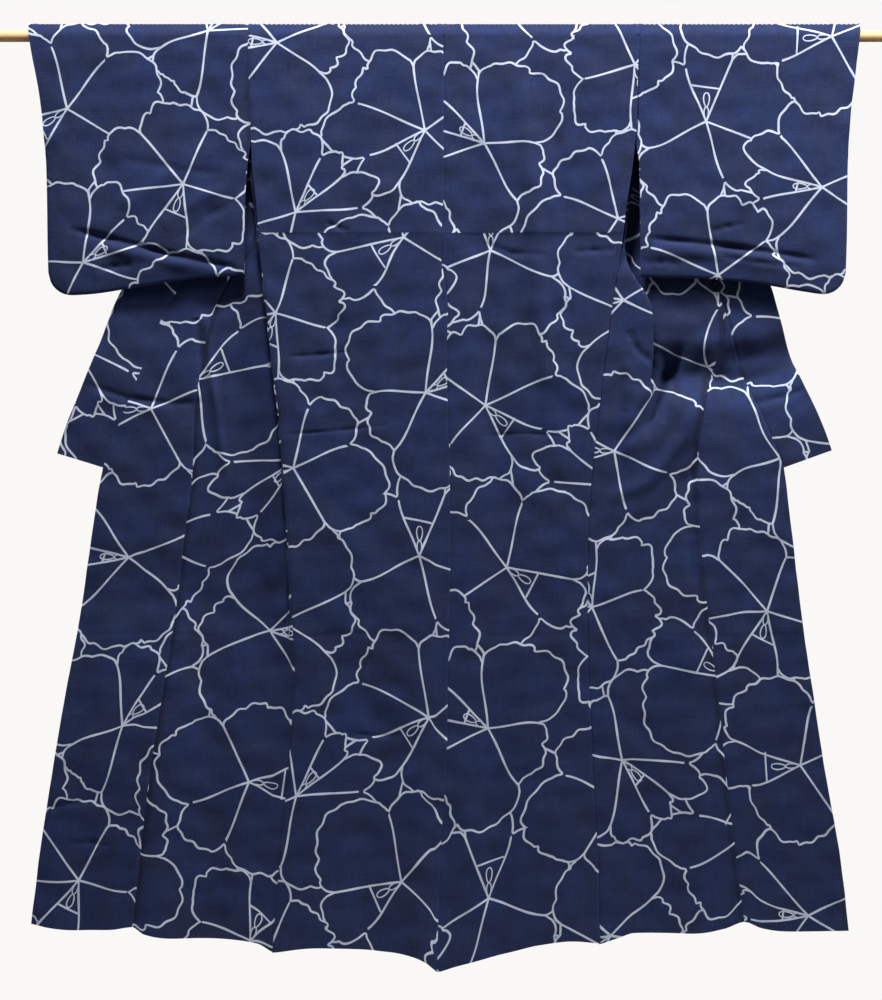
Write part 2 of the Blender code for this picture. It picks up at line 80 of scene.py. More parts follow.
BACK = [
    # drop, centre (to +X), left out, right out
    (0, 0, 0.311, 0.3125), (0.07, 0.001, 0.3095, 0.3105), (0.137, 0.001, 0.3065, 0.309),
    (0.2, 0.001, 0.305, 0.3035), (0.275, 0, 0.2976, 0.2925), (0.342, -0.004, 0.2928, 0.2845),
    (0.387, 0.002, 0.2869, 0.2765), (0.432, 0.008, 0.2816, 0.2695), (0.504, 0.006, 0.2752, 0.26),
    (0.601, 0.008, 0.262, 0.2485), (0.694, 0.011, 0.2544, 0.2378), (0.811, 0.012, 0.2464, 0.2312),
    (0.93, 0.01, 0.24, 0.2304), (1.01, 0.008, 0.2362, 0.2325), (1.08, 0.007, 0.2405, 0.236),
    (1.157, 0.004, 0.2464, 0.239), (1.243, -0.003, 0.256, 0.244), (1.315, -0.006, 0.2624, 0.248),
    (1.43, -0.01, 0.272, 0.2506),
]
FRONT = {
    # drop, roll, fold, turn, seam, edge, lap, behind
    -1: [
        (0, 0, 0.221, 1, 0.04, 0.042, 0, 0), (0.1, 0, 0.187, 1, 0.144, 0.164, 0, 0),
        (0.2, 0, 0.15, 1, 0.223, 0.256, 0, 0), (0.3, 0, 0.114, 1, 0.29, 0.344, 0, 0),
        (0.445, 0, 0.07, 1, 0.371, 0.451, 0, 0), (0.517, 0, 0.058, 1, 0.387, 0.479, 0, 0),
        (0.6, 0, 0.048, 1, 0.3985, 0.513, 0, 0), (0.69, 0, 0.0376, 1, 0.4016, 0.5456, 0, 0),
        (0.806, 0, 0.018, 1, 0.416, 0.5648, 0, 0), (0.88, 0, 0.005, 0.9, 0.4245, 0.5755, 0, 0),
        (0.96, 0, 0, 0.5, 0.435, 0.5875, 0, 0), (1.057, 0, 0, 0.2, 0.45, 0.6048, 0, 0),
        (1.2, 0, 0, 0, 0.471, 0.6272, 0, 0), (1.29, 0, 0, 0, 0.481, 0.641, 0, 0),
        (1.43, 0, 0, 0, 0.4955, 0.658, 0, 0),
    ],
    1: [
        (0, 0, 0.2225, 1, 0.04, 0.042, 0, 0.0018), (0.1, 0, 0.165, 1, 0.18, 0.19, 0.01, 0.0018),
        (0.2, 0, 0.122, 1, 0.285, 0.3, 0.04, 0.0018), (0.3, 0, 0.072, 1, 0.378, 0.385, 0.06, 0.0035),
        (0.36, 0.012, 0.05, 1, 0.418, 0.423, 0.066, 0.0035),
        (0.425, 0.056, 0.036, 1, 0.448, 0.451, 0.07, 0.0035),
        (0.48, 0.07, 0.034, 1, 0.4512, 0.466, 0.066, 0.0035),
        (0.523, 0.074, 0.03, 0.8, 0.438, 0.479, 0.056, 0.0035),
        (0.56, 0.07, 0.018, 0.4, 0.426, 0.4915, 0.046, 0.0035),
        (0.6, 0.06, 0.006, 0.1, 0.415, 0.5085, 0.034, 0.0035),
        (0.64, 0.05, 0, 0, 0.407, 0.5255, 0.02, 0.0025), (0.69, 0.04, 0, 0, 0.4062, 0.5446, 0, 0.0018),
        (0.76, 0, 0, 0, 0.4085, 0.553, 0, 0), (0.84, 0, 0, 0, 0.4145, 0.5626, 0, 0),
        (0.94, 0, 0, 0, 0.425, 0.5744, 0, 0), (1.057, 0, 0, 0, 0.4394, 0.592, 0, 0),
        (1.18, 0, 0, 0, 0.452, 0.611, 0, 0), (1.31, 0, 0, 0, 0.467, 0.634, 0, 0),
        (1.43, 0, 0, 0, 0.481, 0.648, 0, 0),
    ],
}
BACK_HEM = [
    # x, drop past the level hem
    (-0.2736, 0.0348), (-0.208, 0.0273), (-0.083, 0.0345), (-0.045, 0.0417), (-0.021, 0.0538),
    (-0.011, 0.065), (0.018, 0.0577), (0.056, 0.0481), (0.094, 0.0385), (0.154, 0.0225),
    (0.203, 0.0161), (0.2506, 0.02),
]
FRONT_HEM = {
    # out, drop past the level hem
    -1: [
        (0.272, 0.034), (0.299, 0.02), (0.35, 0.0135), (0.43, 0.0125), (0.477, 0.005),
        (0.4955, -0.006), (0.53, -0.0015), (0.584, 0.0001), (0.63, -0.0047), (0.658, -0.0111),
    ],
    1: [
        (0.2506, 0.0215), (0.283, 0.011), (0.305, 0.0045), (0.39, 0.0041), (0.45, -0.004),
        (0.481, -0.0143), (0.51, -0.0031), (0.542, 0.0017), (0.648, 0.0001),
    ],
}
FOLDS = [
    # x at top, x at foot, half width, height, top drop, foot drop
    (-0.2, -0.215, 0.03, 0.005, 0.55, 1.5), (-0.11, -0.12, 0.034, -0.006, 0.6, 1.5),
    (-0.02, -0.035, 0.028, 0.008, 0.7, 1.5), (0.09, 0.085, 0.036, -0.005, 0.6, 1.5),
    (0.18, 0.18, 0.032, 0.006, 0.6, 1.5), (-0.33, -0.38, 0.036, -0.006, 0.65, 1.5),
    (-0.42, -0.47, 0.03, 0.006, 0.75, 1.5), (-0.5, -0.58, 0.036, -0.005, 0.75, 1.5),
    (0.32, 0.33, 0.034, -0.007, 0.75, 1.5), (0.39, 0.42, 0.03, 0.006, 0.75, 1.5),
    (0.47, 0.54, 0.036, -0.005, 0.75, 1.5),
]
CREASES = [
    # x and drop of one end, x and drop of the other, half width, height
    (0.37, 0.51, 0.33, 0.625, 0.012, -0.0075), (0.395, 0.5, 0.372, 0.6, 0.013, 0.006),
    (0.31, 0.56, 0.3, 0.68, 0.015, 0.004), (0.388, 0.72, 0.396, 0.86, 0.008, -0.0035),
]
SLEEVE = {
    # drop, inner out, outer out
    -1: [
        (-0.02, 0.3113, 0.663), (0.019, 0.3111, 0.6582), (0.092, 0.3088, 0.6451), (0.15, 0.3068, 0.6385),
        (0.203, 0.3118, 0.6344), (0.26, 0.316, 0.633), (0.337, 0.3172, 0.632), (0.414, 0.318, 0.63),
    ],
    1: [
        (-0.02, 0.3128, 0.6672), (0.054, 0.3112, 0.6592), (0.092, 0.3104, 0.655), (0.15, 0.3088, 0.6493),
        (0.216, 0.314, 0.6468), (0.307, 0.3158, 0.6459), (0.353, 0.3162, 0.6448), (0.414, 0.3164, 0.642),
    ],
}
SLEEVE_BOTTOM = [
    # share of the width, left drop, right drop
    (0, 0.3813, 0.3845), (0.28, 0.388, 0.387), (0.55, 0.401, 0.3945), (0.8, 0.4125, 0.408),
    (0.9, 0.414, 0.4125), (1, 0.414, 0.414),
]

# How the cloth is made up
SHELL = 0.0008  # the cloth's own thickness
COLLAR_SHELL = 0.0015  # folded double
HEM_EXTRA = 0.0007  # the turned hem is thicker
HEM_WIDTH = 0.011
SEAM_SINKS = 0.0010
SEAM_HALF = 0.0017
SEAM_MEETS = 0.00045  # the sewn edges close the solids' gap
LAPS = 0.0022  # the front's edge lies this far behind the back's at the side seam
PUCKERS = 0.00028  # along a seam
CREASES_DEEPER = 1.7
FAR_LAYER_FOLLOWS = -0.45  # a sleeve's layer on the wall side is pushed along by the near one's creases
UNEVEN_SEED = 7  # one for all pieces, so that they still meet at their seams
UNEVEN_WAVES = 14
UNEVEN_HEIGHT = 0.00026
TUCK_DROP = 0.3150  # the sewn tuck across the back
TUCK_SHIFT = 0.085  # length of cloth that it takes up
TUCK_STEP = 0.0014
TUCK_STANDS = 0.0002
TUCK_SINKS = 0.0003
GRID = 0.0075  # spacing of the cloth's points
FINE = 0.0029  # along the narrow creases
NARROW = 0.0125
OVER_ROD = (-0.045, 0.045, 0.0024)  # closer rows there: lowest and highest v, spacing
OVER_SWIRL = (-0.72, -0.50, 0.0045)
CLEAR_OF_LINES = 0.0019  # no loose point is nearer to a drawn line
ALLOWANCE = 0.0065  # width of the seam allowance behind the front panels, where the cloth's colour is darkened by painted shade
FAR = 9.0  # beyond any piece

# Creases of the cloth as it hangs, named by piece
WRINKLES = {
    # half width, height towards the right side, then x and z of each point of its line
    "sleeve_left": [
        (0.0058, -0.0044, -0.6, -0.308, -0.5, -0.333, -0.428, -0.352, -0.326, -0.372),
        (0.01, 0.0026, -0.59, -0.329, -0.5, -0.348, -0.42, -0.366, -0.35, -0.38),
        (0.006, -0.0022, -0.556, -0.3765, -0.528, -0.369, -0.496, -0.365),
        (0.011, 0.0024, -0.33, -0.235, -0.39, -0.262, -0.45, -0.305),
        (0.009, -0.002, -0.325, -0.262, -0.38, -0.29, -0.425, -0.328),
        (0.015, 0.0022, -0.4, -0.19, -0.46, -0.24, -0.54, -0.29),
        (0.018, -0.0018, -0.56, -0.12, -0.545, -0.2, -0.52, -0.29),
        (0.008, -0.0012, -0.52, -0.195, -0.42, -0.215, -0.335, -0.222),
    ],
    "sleeve_right": [
        (0.0056, -0.0042, 0.318, -0.323, 0.424, -0.333, 0.528, -0.347, 0.6, -0.359),
        (0.01, 0.0026, 0.33, -0.341, 0.43, -0.351, 0.53, -0.364, 0.59, -0.374),
        (0.006, -0.0026, 0.44, -0.352, 0.5, -0.362, 0.575, -0.371),
        (0.0055, -0.0018, 0.426, -0.313, 0.452, -0.306, 0.482, -0.301),
        (0.007, -0.002, 0.318, -0.363, 0.352, -0.361, 0.38, -0.365),
        (0.016, 0.002, 0.52, -0.15, 0.5, -0.23, 0.455, -0.305),
        (0.015, -0.0016, 0.4, -0.11, 0.412, -0.2, 0.405, -0.28),
    ],
    "back": [
        (0.017, 0.0046, 0.106, -0.012, 0.136, -0.18, 0.154, -0.42, 0.186, -0.71),
        (0.026, -0.0044, 0.045, -0.13, 0.062, -0.42, 0.092, -0.71, 0.124, -0.98),
        (0.016, -0.003, 0.158, -0.06, 0.182, -0.2, 0.2, -0.33),
        (0.017, -0.0034, -0.093, -0.08, -0.149, -0.23, -0.181, -0.42, -0.16, -0.59),
        (0.028, 0.0026, -0.05, -0.06, -0.085, -0.25, -0.105, -0.45),
        (0.032, 0.003, -0.21, -0.72, -0.15, -0.83, -0.06, -0.96),
        (0.026, -0.003, -0.2, -0.96, -0.13, -1.05, -0.06, -1.18),
        (0.03, 0.0032, 0.01, -1.12, 0.04, -1.25, 0.06, -1.4),
        (0.026, -0.0028, 0.15, -0.82, 0.17, -1.0, 0.19, -1.2),
        (0.0045, -0.0019, -0.25, -0.514, -0.2, -0.51, -0.15, -0.506),
        (0.004, -0.0014, -0.15, -1.115, -0.105, -1.12, -0.065, -1.118),
        (0.006, -0.0016, 0.06, -0.33, 0.11, -0.348, 0.17, -0.352),
        (0.005, -0.0018, -0.188, -0.299, -0.168, -0.306, -0.15, -0.314),
        (0.006, -0.002, 0.206, -0.346, 0.242, -0.344, 0.276, -0.343),
        (0.0035, -0.0012, -0.262, -0.6385, -0.2, -0.634, -0.154, -0.63, -0.084, -0.622),
        (0.0035, -0.001, 0.06, -0.64, 0.13, -0.636, 0.2, -0.641),
        (0.02, -0.002, -0.225, -0.35, -0.205, -0.47, -0.215, -0.6),
        (0.022, 0.0022, -0.12, -0.34, -0.105, -0.48, -0.09, -0.64),
        (0.018, -0.002, 0.105, -0.345, 0.12, -0.47, 0.105, -0.62),
        (0.02, 0.002, 0.205, -0.36, 0.19, -0.48, 0.2, -0.6),
        (0.024, 0.0018, -0.23, -0.06, -0.215, -0.17, -0.225, -0.29),
        (0.024, -0.0016, 0.2, -0.07, 0.215, -0.17, 0.2, -0.29),
        (0.005, -0.0005, -0.24, -0.962, -0.15, -0.955, -0.06, -0.96),
        (0.005, -0.0004, 0.05, -0.958, 0.14, -0.962, 0.215, -0.955),
    ],
    "front_left": [
        (0.006, -0.0022, -0.575, -0.556, -0.504, -0.579, -0.432, -0.588, -0.38, -0.585),
        (0.01, 0.0016, -0.56, -0.575, -0.5, -0.594, -0.43, -0.602),
        (0.005, -0.0004, -0.59, -0.96, -0.48, -0.955, -0.33, -0.962),
        (0.014, -0.0032, -0.31, -0.44, -0.325, -0.56, -0.325, -0.68),
        (0.0075, 0.0034, -0.384, -0.44, -0.368, -0.57, -0.345, -0.72),
        (0.007, -0.0024, -0.398, -0.43, -0.386, -0.52, -0.38, -0.6),
        (0.012, 0.002, -0.29, -0.82, -0.262, -0.9, -0.245, -1.0),
        (0.024, -0.0026, -0.42, -0.76, -0.4, -0.95, -0.37, -1.2),
        (0.028, 0.0024, -0.52, -0.7, -0.54, -0.95, -0.58, -1.25),
        (0.005, -0.0014, -0.64, -1.238, -0.6, -1.228, -0.555, -1.222),
        (0.005, -0.0012, -0.6, -1.292, -0.565, -1.29, -0.53, -1.296),
    ],
    "front_right": [
        (0.012, 0.0048, 0.446, -0.43, 0.424, -0.54, 0.387, -0.64, 0.331, -0.712, 0.262, -0.742),
        (0.012, -0.004, 0.398, -0.462, 0.366, -0.55, 0.322, -0.62, 0.272, -0.66),
        (0.02, 0.0036, 0.43, -0.53, 0.48, -0.532, 0.545, -0.526, 0.59, -0.52),
        (0.014, -0.003, 0.44, -0.6, 0.405, -0.69, 0.345, -0.765, 0.28, -0.79),
        (0.026, 0.0024, 0.4, -0.8, 0.39, -0.95, 0.38, -1.15),
        (0.026, -0.0026, 0.5, -0.76, 0.52, -0.95, 0.55, -1.2),
        (0.006, -0.0022, 0.486, -0.59, 0.53, -0.579, 0.584, -0.564),
        (0.009, 0.0014, 0.49, -0.604, 0.535, -0.593, 0.58, -0.579),
        (0.005, -0.0005, 0.59, -0.955, 0.47, -0.962, 0.3, -0.956),
        (0.0075, -0.0038, 0.352, -0.5, 0.363, -0.526, 0.352, -0.56, 0.334, -0.596),
        (0.0085, 0.003, 0.338, -0.508, 0.347, -0.53, 0.336, -0.56, 0.316, -0.596),
        (0.006, -0.003, 0.366, -0.492, 0.38, -0.52, 0.372, -0.566, 0.352, -0.62),
        (0.008, 0.0028, 0.31, -0.56, 0.296, -0.62, 0.292, -0.69),
        (0.007, -0.0026, 0.296, -0.47, 0.312, -0.505, 0.338, -0.524),
        (0.01, 0.0022, 0.286, -0.5, 0.3, -0.545, 0.29, -0.6),
        (0.006, -0.0022, 0.405, -0.64, 0.398, -0.69, 0.402, -0.76),
    ],
}

# The print: one repeat of the bolt, with large flowers in line that hide one another
REPEAT = (0.400, 1.000)
LINE_HALF = 0.00160
FLOWERS = [
    # across, along, turn in degrees, kind, size
    (0.100, 0.060, 25, "open", 0.90), (0.315, 0.165, 205, "side", 0.92), (0.080, 0.305, 280, "bud", 0.96),
    (0.285, 0.435, 80, "side", 0.90), (0.110, 0.560, 150, "open", 0.92), (0.325, 0.680, 310, "bud", 0.98),
    (0.085, 0.805, 60, "side", 0.90), (0.300, 0.925, 120, "open", 0.88),
]
PETALS = {
    # span in degrees, reach, radius of the notch before it
    "open": [
        (82, 0.172, 0.112), (52, 0.150, 0.105), (88, 0.165, 0.110),
        (44, 0.158, 0.118), (94, 0.140, 0.100),
    ],
    "side": [
        (104, 0.176, 0.118), (34, 0.152, 0.110), (28, 0.128, 0.100),
        (38, 0.150, 0.104), (96, 0.162, 0.112), (60, 0.118, 0.088),
    ],
    "bud": [
        (58, 0.150, 0.108), (46, 0.168, 0.120), (40, 0.146, 0.100),
        (70, 0.128, 0.092), (82, 0.112, 0.084), (64, 0.136, 0.094),
    ],
}
STAMEN = ((0.003, 0.020, 0.0036), (0.023, 0.023, 0.0046))  # two loops: begin, length, half width
STAMEN_LINE = 0.62  # share of the line's width
JOINED_WITHIN = 0.262  # flowers nearer than this are joined by a line in the gap between them
PANEL_PRINT = {
    # where each piece lies on the bolt: across, along, and 1 or -1 for the way round across it
    "body_left": (0.050, 0.130, 1),
    "body_right": (0.020, 0.610, 1),
    "sleeve_left": (0.310, 0.420, 1),
    "sleeve_right": (0.120, 0.900, -1),
    "okumi_left": (0.230, 0.330, 1),
    "okumi_right": (0.020, 0.760, -1),
    "collar": (0.170, 0.200, 1),
}

# Colours and surfaces
THREADS = 2.0 * math.pi / 0.00062  # waves of the weave in radians for each metre
STITCHES = 2.0 * math.pi / 0.0075
STITCH_LINE = HEM_WIDTH - 0.0012
STITCH_SHOWS = 0.55
WRONG_SIDE_PRINT = 0.62
INDIGO = (0.0118, 0.0225, 0.0810, 1.0)
INDIGO_WARM = (0.0142, 0.0215, 0.0650, 1.0)
UNDYED = (0.53, 0.58, 0.71, 1.0)
UNDYED_TINTED = (0.47, 0.52, 0.66, 1.0)
THREAD_COLOUR = (0.060, 0.075, 0.150, 1.0)
WOOD_PALE = (0.80, 0.55, 0.29, 1.0)
WOOD_WARM = (0.66, 0.40, 0.18, 1.0)
WOOD_DEEP = (0.45, 0.24, 0.10, 1.0)
CLOTH_NOISES = [
    # spots for each metre across and along, detail, roughness: warp slubs, weft slubs, broad, cloudy, grain
    ((900.0, 22.0, 1.0), 1.0, 0.5),
    ((26.0, 760.0, 1.0), 1.0, 0.5),
    ((17.0, 11.0, 1.0), 3.0, 0.55),
    ((70.0, 60.0, 1.0), 3.0, 0.6),
    ((1500.0, 1500.0, 1.0), 1.0, 0.5),
]
WOOD_NOISES = [
    # as above: streaks, pores, broad
    ((6.0, 420.0, 1.0), 4.0, 0.6),
    ((60.0, 2200.0, 1.0), 2.0, 0.5),
    ((3.0, 40.0, 1.0), 2.0, 0.5),
]
COTTON_CONSTANTS = {
    "Specular IOR Level": 0.15,
    "Sheen Weight": 0.07,
    "Sheen Roughness": 0.55,
    "Sheen Tint": (0.72, 0.78, 1.0, 1.0),
}
COTTON_BUMP = (0.55, 0.00035)  # strength, depth
WOOD_BUMP = (0.35, 0.0003)
ROD_SIDES = 48
ROD_CHAMFER = 0.0016

# The room
FLOOR = -1.78
FLOOR_RADIUS = 0.95
FLOOR_SIDES = 64
FLOOR_COLOUR = (0.62, 0.61, 0.59, 1.0)
FLOOR_ROUGHNESS = 0.9
WALL_COLOUR = (0.950, 0.940, 0.920, 1.0)
ROOM_LIGHT = 0.14  # how strongly the pale wall lights the robe
LIT = (0.0, 0.0, -0.45)  # the lamps point here
CAMERA = (-0.0032, -3.2, -0.742)
LENS, SENSOR = 72.0, 36.0
LIGHTS = [
    # name, place, size, energy, colour
    ("key", (-0.25, -0.86, 1.82), 0.50, 110.0, (0.98, 0.99, 1.0)),
    ("fill", (1.65, -0.65, 0.65), 0.6, 38.0, (1.0, 0.99, 0.98)),
    ("from_the_wall_side", (0.6, 2.4, 1.0), 1.6, 120.0, (1.0, 1.0, 1.0)),
]


def smooth(value):
    value = np.clip(value, 0.0, 1.0)
    return value * value * (3.0 - 2.0 * value)


def bag(value):
    value = np.clip(value, 0.0, 1.0)
    return np.sqrt(1.0 - (1.0 - value) ** 2)


def bell(value):
    return np.exp(-(value**2))


def unit(vectors):
    return vectors / np.maximum(np.linalg.norm(vectors, axis=1), 1e-12)[:, None]


def read(rows, column, place):
    """A column of a table at many places, on a smooth curve through the rows that adds no bumps."""
    table = np.asarray(rows, float)
    places, values = table[:, 0], table[:, column]
    slopes = np.diff(values) / np.diff(places)
    before = np.concatenate([slopes[:1], slopes])
    after = np.concatenate([slopes, slopes[-1:]])
    product = before * after
    total = np.where(product > 0, before + after, 1.0)
    ends = np.where(product > 0, 2.0 * product / total, 0.0)
    place = np.clip(place, places[0], places[-1])
    i = np.clip(np.searchsorted(places, place, side="right") - 1, 0, len(places) - 2)
    span = places[i + 1] - places[i]
    u = (place - places[i]) / span
    start = values[i] * (1 + 2 * u) * (1 - u) ** 2 + span * ends[i] * u * (1 - u) ** 2
    finish = values[i + 1] * (3 - 2 * u) * u**2 - span * ends[i + 1] * (1 - u) * u**2
    return start + finish


def fold_depth(x, drop):
    depth = np.zeros(np.broadcast(x, drop).shape)
    for top_x, foot_x, half, height, top, foot in FOLDS:
        u = (drop - top) / (foot - top)
        across = (x - top_x - (foot_x - top_x) * u) / half
        depth = depth - height * smooth(u) * np.exp(-across * across)
    return depth


def crease_depth(x, drop):
    depth = 0.0
    for x0, drop0, x1, drop1, half, height in CREASES:
        length = math.hypot(x1 - x0, drop1 - drop0)
        along = ((x - x0) * (x1 - x0) + (drop - drop0) * (drop1 - drop0)) / length**2
        across = ((x - x0) * (drop1 - drop0) - (drop - drop0) * (x1 - x0)) / length / half
        ends = smooth((along + 0.25) / 0.5) * smooth((1.25 - along) / 0.5)
        depth = depth - height * ends * np.exp(-across * across)
    return depth


def side_out(side, drop):
    return read(BACK, 2 if side < 0 else 3, drop)


def hem_shift(drop, at_hem):
    return at_hem * np.clip(drop / HEM_DROP, 0.0, None) ** 3


def back_depth(x, drop):
    return BACK_DEPTH + 0.003 * smooth(drop / 0.6) + fold_depth(x, drop)


# The cloth over the rod, by the length along it
ridge_steps = np.hypot(*np.diff(np.array(RIDGE), axis=0).T)
RIDGE_HALF = ridge_steps.sum() / 2
RIDGE_BY_LENGTH = [
    (along - RIDGE_HALF, depth, height)
    for along, (depth, height) in zip(np.concatenate([[0.0], np.cumsum(ridge_steps)]), RIDGE)
]


def over_rod(v):
    """Depth and height of the cloth at v, from the back (positive) over the rod to the front."""
    return read(RIDGE_BY_LENGTH, 1, -v), read(RIDGE_BY_LENGTH, 2, -v)


class Front:
    """A front's horizontal sections, from its side edge, behind the back, and outward again."""

    STEP_DOWN = 0.005
    STEP = 0.0015

    def __init__(self, side):
        self.side = side
        drop = np.arange(0.0, 1.50, self.STEP_DOWN)
        self.roll, self.fold, self.turn, self.seam, self.edge, self.lap, self.behind = (
            read(FRONT[side], column, drop) for column in range(1, 8)
        )
        self.sewn = smooth((drop - 0.25) / (SIDE_SEAM_TOP - 0.25))
        beyond = 0.006 * smooth((drop - 0.15) / 0.05) * (1 - self.sewn)
        self.start = side_out(side, drop) + beyond
        sewn_depth = back_depth(side * self.start, drop) + CLOTH + SEAM_GAP
        self.depth = FRONT_DEPTH + (sewn_depth - FRONT_DEPTH) * self.sewn
        self.roll_length = ROLL_AT_NECK + (ROLL_BELOW - ROLL_AT_NECK) * smooth(drop / ROLL_SETTLES)
        self.first_end = self.roll * self.sewn
        self.turn_start = self.first_end + self.fold
        self.turn_end = self.turn_start + self.roll_length
        along = (np.arange(330) + 0.5)[None, :] * self.STEP
        begun = smooth((along - self.roll[:, None]) / FIRST_TURN)
        away = 1.0 - self.sewn[:, None] * (1.0 - begun)
        back = smooth((along - self.turn_start[:, None]) / self.roll_length[:, None])
        self.heading = math.pi * (1.0 - self.turn[:, None] * (away - back))
        zero = np.zeros((len(drop), 1))
        self.outs = np.hstack([zero, np.cumsum(-np.cos(self.heading), axis=1)]) * self.STEP
        self.outs += self.start[:, None]
        self.depths = np.hstack([zero, np.cumsum(np.sin(self.heading), axis=1)]) * self.STEP
        self.drops = drop
        lost = self.sample(self.outs, drop, self.turn_end) - self.start - self.turn_end
        self.width = self.seam - self.start - lost
        self.edge_width = self.edge - self.start - lost

    def at(self, name, drop):
        return np.interp(drop, self.drops, getattr(self, name))

    def sample(self, table, drop, along):
        row = np.clip(drop / self.STEP_DOWN, 0, len(self.drops) - 1.001)
        column = np.clip(along / self.STEP, 0, table.shape[1] - 1.001)
        i, j = row.astype(int), column.astype(int)
        a, b = row - i, column - j
        upper = table[i, j] * (1 - b) + table[i, j + 1] * b
        lower = table[i + 1, j] * (1 - b) + table[i + 1, j + 1] * b
        return upper * (1 - a) + lower * a

    def point(self, along, drop, behind=0.0, creased=False):
        """Places, and the directions in which the cloth's right side faces."""
        out = self.sample(self.outs, drop, along)
        depth = self.sample(self.depths, drop, along)
        tucked_in = np.minimum(along, 0.0)  # the seam allowance, straight on past the side seam
        first_heading = self.sample(self.heading, drop, np.zeros_like(along))
        out = out - np.cos(first_heading) * tucked_in
        depth = depth + np.sin(first_heading) * tucked_in
        x = self.side * out
        low = hem_shift(drop, read(FRONT_HEM[self.side], 1, out))
        start = self.side * self.at("start", drop)
        own = back_depth(start, drop) - back_depth(start, np.full_like(drop, 0.6))
        waves = fold_depth(x, drop) - own
        waves = waves * smooth((drop - 0.40) / 0.2) * smooth(along / 0.04)
        clear = smooth((out - 0.27) / 0.06) * (1 - smooth((drop - 0.41) / 0.15))
        clear = clear * SLEEVE_CLEARANCE * smooth((along - self.at("turn_start", drop)) / 0.03)
        if creased:
            waves = waves + crease_depth(x, drop)
        y = self.at("depth", drop) + depth + behind + waves + clear
        place = np.stack([x, y, -drop - low], axis=1)
        heading = self.sample(self.heading, drop, np.maximum(along - self.STEP / 2, 0.0))
        facing = np.stack([self.side * np.sin(heading), np.cos(heading), 0 * heading], axis=1)
        return place, facing


fronts = {side: Front(side) for side in (-1, 1)}
WIDTH = {side: float(side_out(side, 0.0)) for side in (-1, 1)}


def body_surface(side):
    def surface(u, v):
        place, facing = np.zeros((len(u), 3)), np.zeros((len(u), 3))
        back = v >= RIDGE_HALF
        drop = v[back] - RIDGE_HALF
        x = side * (read(BACK, 1, drop) * side + u[back])
        low = hem_shift(drop, read(BACK_HEM, 1, x))
        place[back] = np.stack([x, back_depth(x, drop), -drop - low], axis=1)
        facing[back] = (0.0, -1.0, 0.0)
        top = np.abs(v) < RIDGE_HALF
        depth, height = over_rod(v[top])
        place[top] = np.stack([side * u[top], depth, height], axis=1)
        facing[top] = (0.0, 0.0, 1.0)
        rest = v <= -RIDGE_HALF
        below = -v[rest] - RIDGE_HALF
        place[rest], facing[rest] = fronts[side].point(WIDTH[side] - u[rest], below, creased=True)
        return place, facing

    return surface


def okumi_start(side, drop):
    front = fronts[side]
    width = front.at("width", drop)
    lapped = np.maximum(width - front.at("lap", drop), front.at("turn_end", drop) + 0.004)
    return np.minimum(lapped, width) + SEAM_GAP


def okumi_end(side, drop):
    return np.maximum(fronts[side].at("edge_width", drop), okumi_start(side, drop) + 0.004)


def okumi_surface(side):
    def surface(u, v):
        return fronts[side].point(okumi_start(side, v) + u, v, fronts[side].at("behind", v))

    return surface


def sleeve_edges(side, drop):
    sewn = side_out(side, drop) + 2 * SEAM_GAP
    free = smooth((drop - SLEEVE_SEAM_DROP) / 0.05)
    inner = sewn + (read(SLEEVE[side], 1, drop) - sewn) * free
    return inner, read(SLEEVE[side], 2, drop)


def sleeve_bottom(side, share):
    bottom = read(SLEEVE_BOTTOM, 1 if side < 0 else 2, share)
    width = float(read(SLEEVE[side], 2, 0.35) - read(SLEEVE[side], 1, 0.35))
    into_corner = np.clip(1.0 - (1.0 - share) * width / CORNER, 0.0, 1.0)
    return bottom - CORNER * (1.0 - np.sqrt(1.0 - into_corner**2))


def sleeve_surface(side):
    def surface(u, v):
        depth, height = over_rod(v)
        beyond = np.abs(v) >= RIDGE_HALF
        drop = np.where(beyond, np.abs(v) - RIDGE_HALF, -height)
        inner, outer = sleeve_edges(side, drop)
        share = np.clip((u - inner) / (outer - inner), 0.0, 1.0)
        closed = CLOTH / 2 + SEAM_GAP / 2
        swell = FRONT_DEPTH + (SLEEVE_SWELL - FRONT_DEPTH) * smooth(drop / 0.12)
        below = bag((sleeve_bottom(side, share) - drop) / 0.09)
        cuff = 1.0 - smooth((drop - CUFF_END + 0.05) / 0.06) * (1.0 - bag((outer - u) / 0.06))
        half = closed + (swell - closed) * below * cuff
        y = np.where(beyond, -np.sign(v) * half, depth)
        z = np.where(beyond, -drop, height)
        facing = np.zeros((len(u), 3))
        facing[:, 1] = -np.sign(v)
        return np.stack([side * u, y, z], axis=1), facing

    return surface


